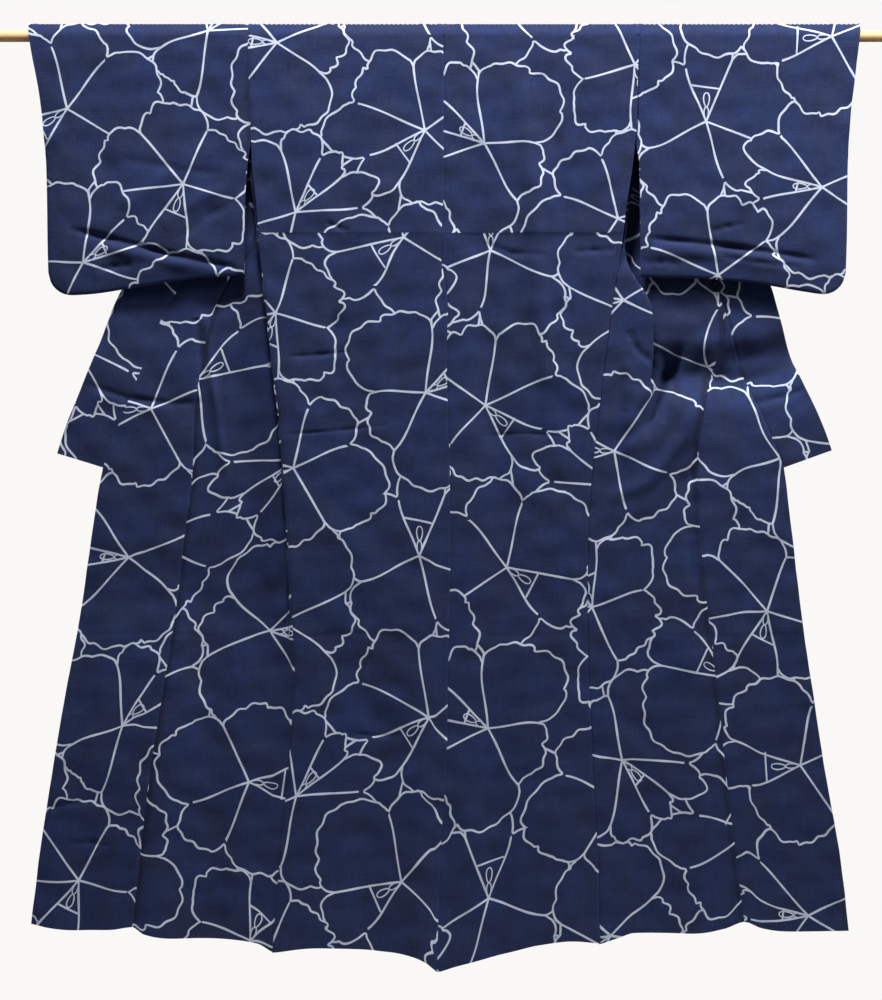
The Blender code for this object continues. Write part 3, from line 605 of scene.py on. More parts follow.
def collar_stations(side):
    """Along the collar's seam: its place, the way the collar reaches from it, the gap and its width."""
    front = fronts[side]
    seam = [
        np.array((side * NECK_HALF * 0.86 * k / COLLAR_STEPS_NECK, FRONT_DEPTH, -NECK_SEAM_DROP))
        for k in range(COLLAR_STEPS_NECK + 1)
    ]
    for drop in COLLAR_DROPS:
        at = np.array([drop])
        if drop < KENSAKI:
            seam.append(front.point(front.at("width", at), at)[0][0])
        else:
            seam.append(front.point(front.at("edge_width", at), at, front.at("behind", at))[0][0])
    seam = np.array(seam)
    along = lengths_along(seam)
    wallward = np.array((0.0, 1.0, 0.0))
    rows = []
    for k, place in enumerate(seam):
        before, after = seam[max(k - 1, 0)], seam[min(k + 1, len(seam) - 1)]
        run = (after - before) / np.linalg.norm(after - before)
        inward = np.cross(run, wallward) * -side
        inward /= np.linalg.norm(inward)
        lifted = COLLAR_LIFT + (math.pi - COLLAR_LIFT) * smooth(along[k] / COLLAR_ROLLS_OVER)
        reach = inward * math.cos(lifted) + wallward * math.sin(lifted)
        grown = smooth(along[k] / COLLAR_FULL_AT)
        width = COLLAR_AT_NECK + (COLLAR_WIDEST[side] - COLLAR_AT_NECK) * grown
        near = smooth(1.0 - abs(along[k] - 0.5 * COLLAR_ROLLS_OVER) / 0.1)
        rows.append([*place, *reach, SEAM_GAP * (2.0 + 4.0 * near), width])
    return along, np.array(rows)


def lengths_along(line):
    return np.concatenate([[0.0], np.cumsum(np.linalg.norm(np.diff(line, axis=0), axis=1))])


left_along, left_rows = collar_stations(-1)
right_along, right_rows = collar_stations(1)
collar_along = np.concatenate([-left_along[:0:-1], right_along])
collar_rows = np.vstack([left_rows[:0:-1], right_rows])


def along_collar(v):
    """The collar's rows at v, on a smooth curve through its stations."""
    i = np.clip(np.searchsorted(collar_along, v, side="right") - 1, 0, len(collar_along) - 2)
    x0, x1 = collar_along[i], collar_along[i + 1]
    y0, y1 = collar_rows[i], collar_rows[i + 1]
    before, after = np.maximum(i - 1, 0), np.minimum(i + 2, len(collar_along) - 1)
    slope0 = (y1 - collar_rows[before]) / (x1 - collar_along[before])[:, None]
    slope1 = (collar_rows[after] - y0) / (collar_along[after] - x0)[:, None]
    span = (x1 - x0)[:, None]
    u = np.clip((v - x0) / (x1 - x0), 0.0, 1.0)[:, None]
    start = y0 * (1 + 2 * u) * (1 - u) ** 2 + span * slope0 * u * (1 - u) ** 2
    return start + y1 * (3 - 2 * u) * u**2 - span * slope1 * (1 - u) * u**2


def collar_surface(u, v):
    rows = along_collar(v)
    reach = unit(rows[:, 3:6])
    ahead = along_collar(v + 0.004)[:, :3] - along_collar(v - 0.004)[:, :3]
    out = u + rows[:, 6] * smooth(u / 0.006)
    return rows[:, :3] + reach * out[:, None], unit(np.cross(ahead, reach))


def distance(points, line):
    """How far 2-D points are from a line of points, and the share of its length where it is nearest."""
    line = np.asarray(line, float)
    so_far = lengths_along(line)
    best, share = np.full(len(points), FAR), np.zeros(len(points))
    for a, b, length, begin in zip(line, line[1:], np.linalg.norm(np.diff(line, axis=0), axis=1), so_far):
        if length < 1e-9:
            continue
        t = np.clip((points - a) @ (b - a) / length**2, 0.0, 1.0)
        away = np.linalg.norm(points - a - t[:, None] * (b - a), axis=1)
        nearer = away < best
        best = np.where(nearer, away, best)
        share = np.where(nearer, (begin + t * length) / so_far[-1], share)
    return best, share


def crease_lines(name):
    for half, height, *points in WRINKLES.get(name, ()):
        yield half, height, np.reshape(points, (-1, 2))


def wrinkle_height(name, x, z):
    """The listed creases of one piece: soft troughs and ridges that fade at their ends."""
    total = np.zeros(len(x))
    points = np.stack([x, z], axis=1)
    for half, height, line in crease_lines(name):
        away, share = distance(points, line)
        fade = np.sin(np.pi * np.clip(share, 0.0, 1.0)) ** 0.6
        uneven = 0.8 + 0.2 * np.sin(share * 17.0 + half * 900.0)
        total += CREASES_DEEPER * height * fade * uneven * bell(away / half)
    return total


def unevenness(x, z):
    """The cloth is never quite flat: a few slow waves in many directions."""
    random = np.random.default_rng(UNEVEN_SEED)
    total = np.zeros(len(x))
    for _ in range(UNEVEN_WAVES):
        wave = random.uniform(0.035, 0.14)
        turned = random.uniform(0.0, math.pi)
        phase = random.uniform(0.0, 2 * math.pi)
        place = (x * math.cos(turned) + z * math.sin(turned)) / wave
        total += UNEVEN_HEIGHT * math.sqrt(wave / 0.05) * np.sin(2 * math.pi * place + phase)
    return total


class Flower:
    """A flower of the print: an outline of petals with ruffled ends, round a hub."""

    def __init__(self, index, across, along, turned, kind, size):
        self.centre = np.array((across, along))
        self.turned = math.radians(turned)
        random = np.random.default_rng(100 + index)
        rows = PETALS[kind]
        radius, self.notches, begun = [], [], 0
        for k, (span, reach, notch) in enumerate(rows):
            after = rows[(k + 1) % len(rows)][2]
            share = np.arange(2 * span) / (2 * span)
            level = notch + (after - notch) * share
            lobe = np.sin(math.pi * share) ** 0.50
            lean = share + 0.10 * np.sin(2 * math.pi * share + random.uniform(0, 6.3))
            place = (1 + span // 27) * lean + random.uniform(0, 1)
            cusp = 1.0 - np.abs(np.sin(math.pi * place)) ** 0.5
            cusp *= 0.55 + 0.45 * np.sin(2.1 * np.floor(place) + k)
            sway = 0.0060 * np.sin(2 * math.pi * (1.3 * share + random.uniform(0, 1)))
            sway += 0.0022 * np.sin(2 * math.pi * (0.09 * span * share + random.uniform(0, 1)))
            ruffled = (sway - 0.0125 * cusp) * np.sin(math.pi * share) ** 0.6
            radius.append(level + (reach - level) * lobe + ruffled)
            self.notches.append((math.radians(begun), notch * size, random.uniform(-0.10, 0.10)))
            begun += span
        self.radius = np.concatenate(radius) * size
        self.radius = np.append(self.radius, self.radius[0])
        narrow = min(range(len(rows)), key=lambda k: rows[k][0])
        self.stamen = math.radians(sum(row[0] for row in rows[:narrow]) + rows[narrow][0] / 2)
        self.bridge = random.uniform(0.30, 0.42) * rows[narrow][1] * size
        self.bridged = (narrow, (narrow + 1) % len(rows))

    def placed(self, angles, radii):
        angles = np.asarray(angles) + self.turned
        return self.centre + np.stack([np.cos(angles), np.sin(angles)], axis=1) * np.asarray(radii)[:, None]

    def lines(self):
        """Its lines as points on the bolt, each with half its width."""
        angles = np.radians(np.arange(0.0, 360.5, 1.5))
        radii = np.interp(angles, np.radians(np.arange(721) / 2), self.radius)
        made = [(self.placed(angles, radii), LINE_HALF)]
        for angle, notch, bend in self.notches:
            r = np.linspace(0.0, notch, 24)
            bent = angle + bend * np.sin(math.pi * r / notch) * (r / notch)
            made.append((self.placed(bent, r), LINE_HALF))
        first, second = (self.notches[k][0] for k in self.bridged)
        made.append((self.placed([first, second], [self.bridge, self.bridge * 1.1]), LINE_HALF * 0.9))
        here = self.stamen + self.turned
        ahead, left = np.array((math.cos(here), math.sin(here))), np.array((-math.sin(here), math.cos(here)))
        for begin, length, half in STAMEN:
            t = np.linspace(0.0, 2 * math.pi, 25)
            along = begin + length * (1.0 - np.cos(t)) / 2
            aside = half * np.sin(t) * (0.75 + 0.5 * (1.0 - np.cos(t)) / 2)
            loop = self.centre + along[:, None] * ahead + aside[:, None] * left
            made.append((loop, LINE_HALF * STAMEN_LINE))
        return made

    def depth_inside(self, points, shift):
        """How far points lie inside its outline, negative outside."""
        away = points - self.centre - shift
        angle = np.degrees(np.arctan2(away[:, 1], away[:, 0]) - self.turned) % 360.0
        return np.interp(angle, np.arange(721) / 2, self.radius) - np.linalg.norm(away, axis=1)


def respaced(line, step):
    so_far = lengths_along(line)
    count = max(2, int(round(so_far[-1] / step)) + 1)
    places = np.linspace(0.0, so_far[-1], count)
    return np.stack([np.interp(places, so_far, line[:, k]) for k in (0, 1)], axis=1)


def left_of(line):
    ahead = unit(np.gradient(line, axis=0))
    return np.stack([-ahead[:, 1], ahead[:, 0]], axis=1)


def outside_of(line, inside):
    """The stretches of a line where inside is negative, cut where it crosses zero."""
    stretches, current = [], []
    for k in range(len(line)):
        if k and (inside[k] > 0) != (inside[k - 1] > 0):
            t = inside[k - 1] / (inside[k - 1] - inside[k])
            current.append(line[k - 1] + (line[k] - line[k - 1]) * t)
            if inside[k] > 0:
                stretches.append(current)
                current = []
        if inside[k] <= 0:
            current.append(line[k])
    stretches.append(current)
    return [np.array(s) for s in stretches if len(s) > 1]


def repeat_lines():
    """The line work of one repeat of the bolt."""
    flowers = [Flower(k, *row) for k, row in enumerate(FLOWERS)]
    shifts = [np.array((a * REPEAT[0], b * REPEAT[1])) for a in (-1, 0, 1) for b in (-1, 0, 1)]
    made = []

    def keep(line, half, above):
        line = respaced(line, 0.0028)
        inside = np.full(len(line), -1.0)
        for flower in above:
            for shift in shifts:
                inside = np.maximum(inside, flower.depth_inside(line, shift))
        made.extend((stretch, half) for stretch in outside_of(line, inside) if len(stretch) > 2)

    for k, flower in enumerate(flowers):
        for line, half in flower.lines():
            keep(line, half, flowers[k + 1 :])
    for k, flower in enumerate(flowers):
        for other in flowers[k:]:
            for shift in shifts:
                away = other.centre + shift - flower.centre
                if 0.01 < np.linalg.norm(away) < JOINED_WITHIN and (other is not flower or shift[1] > 0):
                    t = np.linspace(0.0, 1.0, 60)[:, None]
                    bow = np.array((-away[1], away[0])) * 0.10 * math.sin(5.0 * k + 1.0)
                    keep(flower.centre + away * t + bow * np.sin(math.pi * t), LINE_HALF, flowers)
    return made


PRINT = repeat_lines()


def print_on(name, low, high, extra):
    """The print's lines over a box of a piece's flat cloth, in the piece's own coordinates."""
    across, along, way = PANEL_PRINT[name]
    along += extra
    made = []
    corners = np.array([[way * low[0] + across, low[1] + along], [way * high[0] + across, high[1] + along]])
    first, last = corners.min(axis=0), corners.max(axis=0)
    for a in range(math.floor(first[0] / REPEAT[0]) - 1, math.ceil(last[0] / REPEAT[0]) + 1):
        for b in range(math.floor(first[1] / REPEAT[1]) - 1, math.ceil(last[1] / REPEAT[1]) + 1):
            shift = np.array((a * REPEAT[0], b * REPEAT[1]))
            for line, half in PRINT:
                moved = (line + shift - (across, along)) * (way, 1)
                if (moved.max(axis=0) > low - 0.01).all() and (moved.min(axis=0) < high + 0.01).all():
                    made.append((moved, half))
    return made


def strip_edges(line, half, seed):
    """Both edges of a drawn line, with the slight unevenness of a hand's stroke."""
    left = left_of(line)
    place = line[:, 0] * 70.0 + line[:, 1] * 53.0 + seed
    half = half * (1.0 + 0.09 * np.sin(place) + 0.06 * np.sin(2.7 * place + 1.0))
    return line + left * half[:, None], line - left * half[:, None], half


def inside_polygon(points, ring):
    inside = np.zeros(len(points), bool)
    x, y = points[:, 0], points[:, 1]
    for (x0, y0), (x1, y1) in zip(ring, np.roll(ring, -1, axis=0)):
        if y0 != y1:
            crosses = (y0 > y) != (y1 > y)
            inside ^= crosses & (x < (x1 - x0) * (y - y0) / (y1 - y0) + x0)
    return inside


def inward_of(line, ring):
    """The directions from a panel's edge into the panel."""
    left = left_of(line)
    middle = len(line) // 2
    probe = line[middle : middle + 1] + left[middle : middle + 1] * 0.002
    return left if inside_polygon(probe, ring)[0] else -left


def tree_of(points):
    tree = kdtree.KDTree(len(points))
    for i, point in enumerate(points):
        tree.insert((point[0], point[1], 0.0), i)
    tree.balance()
    return tree


def near(lines, points):
    best = np.full(len(points), FAR)
    for line in lines:
        best = np.minimum(best, distance(points, respaced(line, 0.012))[0])
    return best


def crossed(faces, flat):
    """Twice the area of flat triangles, positive where they run counterclockwise."""
    a, b = flat[faces[:, 1]] - flat[faces[:, 0]], flat[faces[:, 2]] - flat[faces[:, 0]]
    return a[:, 0] * b[:, 1] - a[:, 1] * b[:, 0]


class Panel:
    """One cut piece: its outline in flat cloth, its surface, and what is sewn, hemmed or folded."""

    def __init__(self, name, edges, surface, wrinkles, shell=SHELL):
        self.name, self.surface, self.wrinkles, self.shell = name, surface, wrinkles, shell
        self.ring = np.vstack([respaced(np.asarray(line, float), GRID)[:-1] for line, _ in edges])
        self.low, self.high = self.ring.min(axis=0), self.ring.max(axis=0)
        self.seams, self.hems = (
            [np.asarray(line, float) for line, kind in edges if kind == wanted] for wanted in ("seam", "hem")
        )
        self.cuts = []  # v of a sewn tuck: the print jumps there
        self.dense = []  # (lowest v, highest v, spacing)
        self.turns = None
        self.painted_shade_seams = []  # seams with their allowance behind this piece, along which painted shade darkens the cloth
        self.laps = []  # seams where this piece reaches behind its neighbour
        self.double = shell > SHELL  # folded, so that its right side shows on both faces

    def lattice(self):
        low, high = self.low, self.high
        rows, v = [], low[1]
        while v < high[1]:
            rows.append(v)
            v += min([GRID] + [spacing for first, last, spacing in self.dense if first <= v <= last])
        points = []
        for k, v in enumerate(rows):
            line = np.arange(low[0] + (k % 2) * GRID / 2, high[0], GRID)
            points.append(np.stack([line, np.full(len(line), v)], axis=1))
            if self.turns is not None:
                fine = self.turns(v)
                if len(fine):
                    points.append(np.stack([fine, np.full(len(fine), v)], axis=1))
        return np.vstack(points + [self.along_creases()])

    def along_creases(self):
        """Closer points where a narrow crease runs."""
        low, high = self.low, self.high
        across, along = np.meshgrid(np.arange(low[0], high[0], FINE), np.arange(low[1], high[1], FINE * 0.87))
        across[1::2] += FINE / 2
        flat = np.stack([across.ravel(), along.ravel()], axis=1)
        place, _ = self.surface(flat[:, 0], flat[:, 1])
        chosen = np.zeros(len(flat), bool)
        for name, mask in self.wrinkles(flat):
            here = np.nonzero(mask)[0]
            for half, _, line in crease_lines(name):
                if half < NARROW:
                    chosen[here] |= distance(place[here][:, [0, 2]], line)[0] < 2.0 * half
        return flat[chosen]

    def build(self):
        """The flat cloth in triangles, with the print's lines, seams and hems as edges."""
        ring, low, high = self.ring, self.low, self.high
        bands = [-FAR, *self.cuts, FAR]
        points, edges, drawn = [], [], []

        def chain(line, closed=False):
            begun = len(points)
            points.extend(map(tuple, line))
            edges.extend((begun + i, begun + i + 1) for i in range(len(line) - 1))
            if closed:
                edges.append((begun + len(line) - 1, begun))

        chain(ring, closed=True)
        guides = [(line, d) for line in self.seams for d in (SEAM_HALF, 2.6 * SEAM_HALF)]
        guides += [(line, d) for line in self.hems for d in (HEM_WIDTH - 0.0006, HEM_WIDTH + 0.0008)]
        for line, away in guides:
            line = respaced(line, GRID)
            moved = line + inward_of(line, ring) * away
            moved = moved[inside_polygon(moved, ring)]
            if len(moved) > 1:
                chain(moved)
        for cut in self.cuts:
            for v in (cut - 0.0025, cut, cut + TUCK_STEP, cut + 0.010):
                across = np.arange(low[0] - 0.01, high[0] + 0.01, GRID)
                chain(np.stack([across, np.full(len(across), v)], axis=1))
        for k, (first, last) in enumerate(zip(bands, bands[1:])):
            lines = []
            for line, half in print_on(self.name, low, high, TUCK_SHIFT * k):
                within = np.maximum(line[:, 1] - last - 0.008, first - 0.008 - line[:, 1])
                lines += [(part, half) for part in outside_of(line, within)]
            middles, halves = [], []
            for number, (line, half) in enumerate(lines):
                left, right, widths = strip_edges(line, half, number)
                chain(left)
                chain(right)
                edges.append((len(points) - 2 * len(line), len(points) - len(line)))
                edges.append((len(points) - len(line) - 1, len(points) - 1))
                fine = respaced(line, 0.0009)
                share = np.linspace(0, len(line) - 1, len(fine))
                middles.append(fine)
                halves.append(np.interp(share, np.arange(len(line)), widths))
            drawn.append((first, last, np.vstack(middles), np.concatenate(halves)))
        loose = self.lattice()
        loose = loose[inside_polygon(loose, ring)]
        tree = tree_of(points)
        clear = [tree.find((p[0], p[1], 0.0))[2] > CLEAR_OF_LINES for p in loose]
        points.extend(map(tuple, loose[np.array(clear)]))
        verts, _, faces, *_ = geometry.delaunay_2d_cdt([Vector(p) for p in points], edges, [], 0, 1e-6, False)
        flat = np.array([tuple(v) for v in verts])
        faces = np.array([f for f in faces if len(f) == 3])
        centres = flat[faces].mean(axis=1)
        area = np.abs(crossed(faces, flat)) / 2
        kept = inside_polygon(centres, ring) & (area > 1e-12)
        faces, centres = faces[kept], centres[kept]
        ink = np.zeros(len(faces), bool)
        for first, last, middles, halves in drawn:
            tree = tree_of(middles)
            for i in np.nonzero((centres[:, 1] > first) & (centres[:, 1] <= last))[0]:
                _, index, away = tree.find((centres[i, 0], centres[i, 1], 0.0))
                ink[i] = away < halves[index]
        used, faces = np.unique(faces, return_inverse=True)
        self.flat, self.faces, self.ink = flat[used], faces.reshape(-1, 3), ink
        self.area = float(area[kept].sum())

    def closed(self, flat):
        """The cloth's points, with its sewn edges moved out a little so that they meet at the seams."""
        moved = flat.copy()
        for line, reach in [(line, SEAM_MEETS) for line in self.seams] + [(line, LAPS) for line in self.laps]:
            line = respaced(line, 0.004)
            outward = -inward_of(line, self.ring)
            away, share = distance(flat, line)
            spot = share * (len(line) - 1)
            out = np.stack([np.interp(spot, np.arange(len(line)), outward[:, k]) for k in (0, 1)], axis=1)
            on_edge = away < 0.00012
            moved[on_edge] = flat[on_edge] + out[on_edge] * reach
        return moved

    def shaped(self, flat):
        """Places of the cloth's middle, with its seams, hems, tucks and creases."""
        place, facing = self.surface(flat[:, 0], flat[:, 1])
        x, z = place[:, 0], place[:, 2]
        lift = np.zeros(len(flat))
        for name, mask in self.wrinkles(flat):
            lift += mask * wrinkle_height(name, x, z)
        lift += unevenness(x, z) * smooth(self.calm(flat) / 0.03)
        if self.seams:
            away = near(self.seams, flat)
            lift -= SEAM_SINKS * bell(away / SEAM_HALF)
            along = flat[:, 0] * 9.0 + flat[:, 1] * 260.0
            pucker = np.sin(along) * np.sin(along * 0.37 + 1.0)
            lift += PUCKERS * pucker * bell(away / 0.011) * (1 - bell(away / 0.002))
        for cut in self.cuts:
            below = flat[:, 1] - cut
            above_cut = TUCK_STANDS * bell(np.minimum(below, 0.0) / 0.012)
            under_cut = TUCK_SINKS * np.exp(-np.maximum(below - TUCK_STEP, 0.0) / 0.03)
            share = smooth(below / TUCK_STEP)
            lift += above_cut * (1.0 - share) - under_cut * share
        return place + facing * lift[:, None]

    def calm(self, flat):
        """How far the cloth's points are from the rod, and on a sleeve from its seams too."""
        if not self.name.startswith(("body", "sleeve")):
            return np.full(len(flat), 1.0)
        away = np.abs(flat[:, 1]) - RIDGE_HALF
        return np.minimum(away, near(self.seams, flat)) if self.name.startswith("sleeve") else away

    def painted_seam_shade(self, flat):
        """Painted shade: 1 where a seam allowance lies behind the cloth, and the colour there is darkened as
        though less light came through it.
        """
        if not self.painted_shade_seams:
            return np.zeros(len(flat))
        return 1.0 - smooth((near(self.painted_shade_seams, flat) - ALLOWANCE) / 0.0012)

    def thickness(self, flat):
        made = np.full(len(flat), self.shell)
        if self.hems:
            made += HEM_EXTRA * (1.0 - smooth((near(self.hems, flat) - HEM_WIDTH + 0.0008) / 0.0016))
        return made

    def normals(self, flat):
        """The right side's direction, from places a millimetre apart."""
        apart = 0.0010
        across = self.shaped(flat + (apart, 0.0)) - self.shaped(flat - (apart, 0.0))
        along = self.shaped(flat + (0.0, apart)) - self.shaped(flat - (0.0, apart))
        normal = unit(np.cross(across, along))
        _, facing = self.surface(flat[:, 0], flat[:, 1])
        sign = 1.0 if (normal * facing).sum() > 0 else -1.0
        return normal * sign, sign

    def make(self):
        """The piece as a closed shell: its right side, its wrong side and the rim between them."""
        self.build()
        flat, faces = self.flat, self.faces
        place = self.shaped(self.closed(flat))
        normal, sign = self.normals(flat)
        half = self.thickness(flat)[:, None] / 2
        count = len(flat)
        turned = (crossed(faces, flat) > 0) != (sign > 0)
        faces = np.where(turned[:, None], faces[:, ::-1], faces)
        sides = np.concatenate([faces[:, [0, 1]], faces[:, [1, 2]], faces[:, [2, 0]]])
        _, first, uses = np.unique(np.sort(sides, axis=1), axis=0, return_index=True, return_counts=True)
        border = sides[first[uses == 1]]
        rim = np.stack([border[:, 1], border[:, 0], border[:, 0] + count, border[:, 1] + count], axis=1)
        verts = np.concatenate([place + normal * half, place - normal * half])
        inner = faces[:, ::-1] + count
        mesh = bpy.data.meshes.new(self.name)
        mesh.from_pydata(verts.tolist(), [], [*faces.tolist(), *inner.tolist(), *rim.tolist()])
        mesh.shade_smooth()
        own = np.concatenate([faces.ravel(), inner.ravel(), rim.ravel()]) % count
        is_inner, is_rim = (
            np.repeat(which, [faces.size, faces.size, rim.size])
            for which in ([False, True, False], [False, False, True])
        )
        rim_normal = unit(np.cross(verts[rim[:, 1]] - verts[rim[:, 0]], normal[rim[:, 0] % count]))
        directions = np.where(is_inner[:, None], -normal[own], normal[own])
        directions[is_rim] = -np.repeat(rim_normal, 4, axis=0)
        mesh.normals_split_custom_set(directions.tolist())
        across, along, way = PANEL_PRINT[self.name]
        cloth = flat[own] * (way, 1) + (across, along)
        mesh.uv_layers.new(name="Cloth").data.foreach_set("uv", cloth.ravel())
        self.lay_out(mesh, flat, own, is_inner, is_rim, rim)
        from_edge, from_hem = (
            np.minimum(0.05, near(lines, flat)) for lines in (self.seams + self.hems, self.hems)
        )
        for name, domain, values in (
            ("ink", "FACE", np.concatenate([self.ink, self.ink, np.zeros(len(rim), bool)])),
            ("edge", "POINT", np.tile(from_edge, 2)),
            ("hem", "POINT", np.tile(from_hem, 2)),
            # painted shade along the seams that have an allowance behind
            ("painted_seam_shade", "POINT", np.tile(self.painted_seam_shade(flat), 2)),
        ):
            mesh.attributes.new(name, "FLOAT", domain).data.foreach_set("value", values.astype(np.float32))
        mesh.materials.append(cotton("cotton_right_side", 1.0))
        if not self.double:
            mesh.materials.append(cotton("cotton_wrong_side", WRONG_SIDE_PRINT))
        slots = np.repeat([0, 0 if self.double else 1, 0], [len(faces), len(faces), len(rim)])
        mesh.polygons.foreach_set("material_index", slots.astype(np.int32))
        mesh.update()
        piece = in_scene(f"{self.name}_cloth", mesh)
        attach(piece, "root")
        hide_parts(self.name)

    def lay_out(self, mesh, flat, own, is_inner, is_rim, rim):
        """A second map, with the two sides of the cloth in strips beside each other, for baking."""
        low, high, count = self.low, self.high, len(flat)
        wide = high[0] - low[0] + 0.020
        strip, lowered, strips = np.zeros(len(own)), np.full(len(own), low[1]), 1
        if high[1] - low[1] > 3 * (high[0] - low[0]):
            strips, middle = 2, (low[1] + high[1]) / 2
            face_of = np.repeat(np.arange(len(mesh.polygons)), [len(p.vertices) for p in mesh.polygons])
            upper = (np.bincount(face_of, flat[own][:, 1]) / np.bincount(face_of) > middle)[face_of]
            strip, lowered = upper * 1.0, np.where(upper, middle - 0.010, low[1])
        strip = strip + is_inner * strips
        place = np.stack([flat[own][:, 0] - low[0] + strip * wide, flat[own][:, 1] - lowered], axis=1)
        ahead = flat[rim[:, 1] % count] - flat[rim[:, 0] % count]
        outward = unit(np.stack([-ahead[:, 1], ahead[:, 0]], axis=1))
        wrong = inside_polygon(flat[rim % count].mean(axis=1) + outward * 0.0015, self.ring)
        outward[wrong] *= -1
        moved = np.repeat(outward, 4, axis=0) * 0.0035
        moved[np.tile([True, True, False, False], len(rim))] = 0.0
        place[is_rim] += moved
        span = max(strips * 2 * wide, (high[1] - low[1]) / strips + 0.03)
        mesh.uv_layers.new(name="OFBake").data.foreach_set("uv", (place / span + 0.005).ravel() * 0.985)


def body_panel(name, side):
    front = fronts[side]
    foot = RIDGE_HALF + HEM_DROP
    gap = SEAM_GAP / 2
    drops = np.linspace(0.0, HEM_DROP, 240)
    side_edge = side_out(side, drops) - read(BACK, 1, drops) * side
    below = drops >= SIDE_SEAM_TOP
    sewn_to_sleeve = drops <= SLEEVE_SEAM_DROP
    free = ~below & ~sewn_to_sleeve
    back_edge = np.stack([side_edge, RIDGE_HALF + drops], axis=1)
    front_edge = np.stack([np.full(len(drops), WIDTH[side]), -RIDGE_HALF - drops], axis=1)
    okumi_edge = np.stack([WIDTH[side] - front.at("width", drops), -RIDGE_HALF - drops], axis=1)

    def stretch(edge, mask, reverse=False):
        chosen = np.nonzero(mask)[0]
        chosen = np.arange(chosen[0], min(chosen[-1] + 2, len(edge)))
        return edge[chosen][::-1] if reverse else edge[chosen]

    edges = [
        ([(gap, foot), back_edge[-1]], "hem"),
        (stretch(back_edge, below, True), "seam"),
        (stretch(back_edge, free, True), "hem"),
        (stretch(back_edge, sewn_to_sleeve, True), "seam"),
        ([back_edge[0], (WIDTH[side], 0.0), front_edge[0]], "seam"),
        (stretch(front_edge, sewn_to_sleeve), "seam"),
        (stretch(front_edge, free), "hem"),
        (stretch(front_edge, below), "seam"),
        ([front_edge[-1], okumi_edge[-1]], "hem"),
        (okumi_edge[::-1], "seam"),
        ([okumi_edge[0], (gap, -RIDGE_HALF)], "seam"),
        ([(gap, -RIDGE_HALF), (gap, foot)], "seam"),
    ]

    def wrinkles(flat):
        back = flat[:, 1] > 0
        along = WIDTH[side] - flat[:, 0]
        turned = along > front.at("turn_end", -flat[:, 1] - RIDGE_HALF) - 0.004
        visible = turned if side < 0 else along > 0.004
        yield "back", back
        yield f"front_{'left' if side < 0 else 'right'}", ~back & visible

    def turns(v):
        drop = -v - RIDGE_HALF
        if drop < 0.0:
            return []
        first, begin, end = (float(front.at(key, drop)) for key in ("first_end", "turn_start", "turn_end"))
        spots = np.concatenate([np.arange(first, first + FIRST_TURN, 0.0016), np.arange(begin, end, 0.0024)])
        return WIDTH[side] - spots

    panel = Panel(name, edges, body_surface(side), wrinkles)
    # the front's seam to the okumi gets a band of painted shade
    panel.painted_shade_seams = [okumi_edge[drops > TUCK_DROP]]
    panel.laps = [stretch(front_edge, below)]
    panel.cuts = [RIDGE_HALF + TUCK_DROP]
    panel.dense = [OVER_ROD, OVER_SWIRL] if side > 0 else [OVER_ROD]
    panel.turns = turns
    return panel


def okumi_panel(name, side):
    drops = np.linspace(KENSAKI, HEM_DROP, 220)
    width = okumi_end(side, drops) - okumi_start(side, drops)
    inner = np.stack([np.zeros(len(drops)), drops], axis=1)
    outer = np.stack([width, drops], axis=1)
    last = int(np.nonzero(drops <= COLLAR_END)[0][-1]) + 1
    edges = [
        (inner, "seam"),
        ([inner[-1], outer[-1]], "hem"),
        (outer[last - 1 :][::-1], "hem"),
        (outer[:last][::-1], "seam"),
        ([outer[0], inner[0]], "seam"),
    ]

    def wrinkles(flat):
        yield f"front_{'left' if side < 0 else 'right'}", flat[:, 1] > 0.45

    return Panel(name, edges, okumi_surface(side), wrinkles)


def sleeve_panel(name, side):
    shares = np.linspace(0.0, 1.0, 90)
    bottoms = RIDGE_HALF + sleeve_bottom(side, shares)

    def edge_at(which, v):
        drop = np.where(np.abs(v) >= RIDGE_HALF, np.abs(v) - RIDGE_HALF, -over_rod(v)[1])
        return sleeve_edges(side, drop)[which]

    heights, cuffs = (np.linspace(-bottoms[k], bottoms[k], 160) for k in (0, -1))
    inner = np.stack([edge_at(0, heights), heights], axis=1)
    outer = np.stack([edge_at(1, cuffs), cuffs], axis=1)
    left, right = edge_at(0, bottoms), edge_at(1, bottoms)
    bottom = np.stack([left + (right - left) * shares, bottoms], axis=1)
    first, last = np.nonzero(np.abs(heights) <= RIDGE_HALF + SLEEVE_SEAM_DROP)[0][[0, -1]]
    start, stop = np.nonzero(np.abs(cuffs) <= RIDGE_HALF + CUFF_END)[0][[0, -1]]
    edges = [
        (inner[: first + 1], "hem"),
        (inner[first : last + 1], "seam"),
        (inner[last:], "hem"),
        (bottom, "seam"),
        (outer[stop:][::-1], "seam"),
        (outer[start : stop + 1][::-1], "hem"),
        (outer[: start + 1][::-1], "seam"),
        ((bottom * (1, -1))[::-1], "seam"),
    ]

    def wrinkles(flat):
        near_layer, far_layer = flat[:, 1] > 0.05, flat[:, 1] < -0.05
        yield name, np.where(near_layer, 1.0, np.where(far_layer, FAR_LAYER_FOLLOWS, 0.0))

    panel = Panel(name, edges, sleeve_surface(side), wrinkles)
    panel.dense = [OVER_ROD]
    return panel


def collar_panel():
    along = np.linspace(collar_along[0], collar_along[-1], 300)
    inner = np.stack([np.zeros(len(along)), along], axis=1)
    outer = np.stack([along_collar(along)[:, 7], along], axis=1)
    edges = [
        (inner, "seam"),
        ([inner[-1], outer[-1]], "fold"),
        (outer[::-1], "fold"),
        ([outer[0], inner[0]], "fold"),
    ]

    def wrinkles(flat):
        yield "front_left", flat[:, 1] < -0.4
        yield "front_right", flat[:, 1] > 0.4

    return Panel("collar", edges, collar_surface, wrinkles, COLLAR_SHELL)


def in_scene(name, data):
    made = bpy.data.objects.new(name, data)
    bpy.context.scene.collection.objects.link(made)
    return made


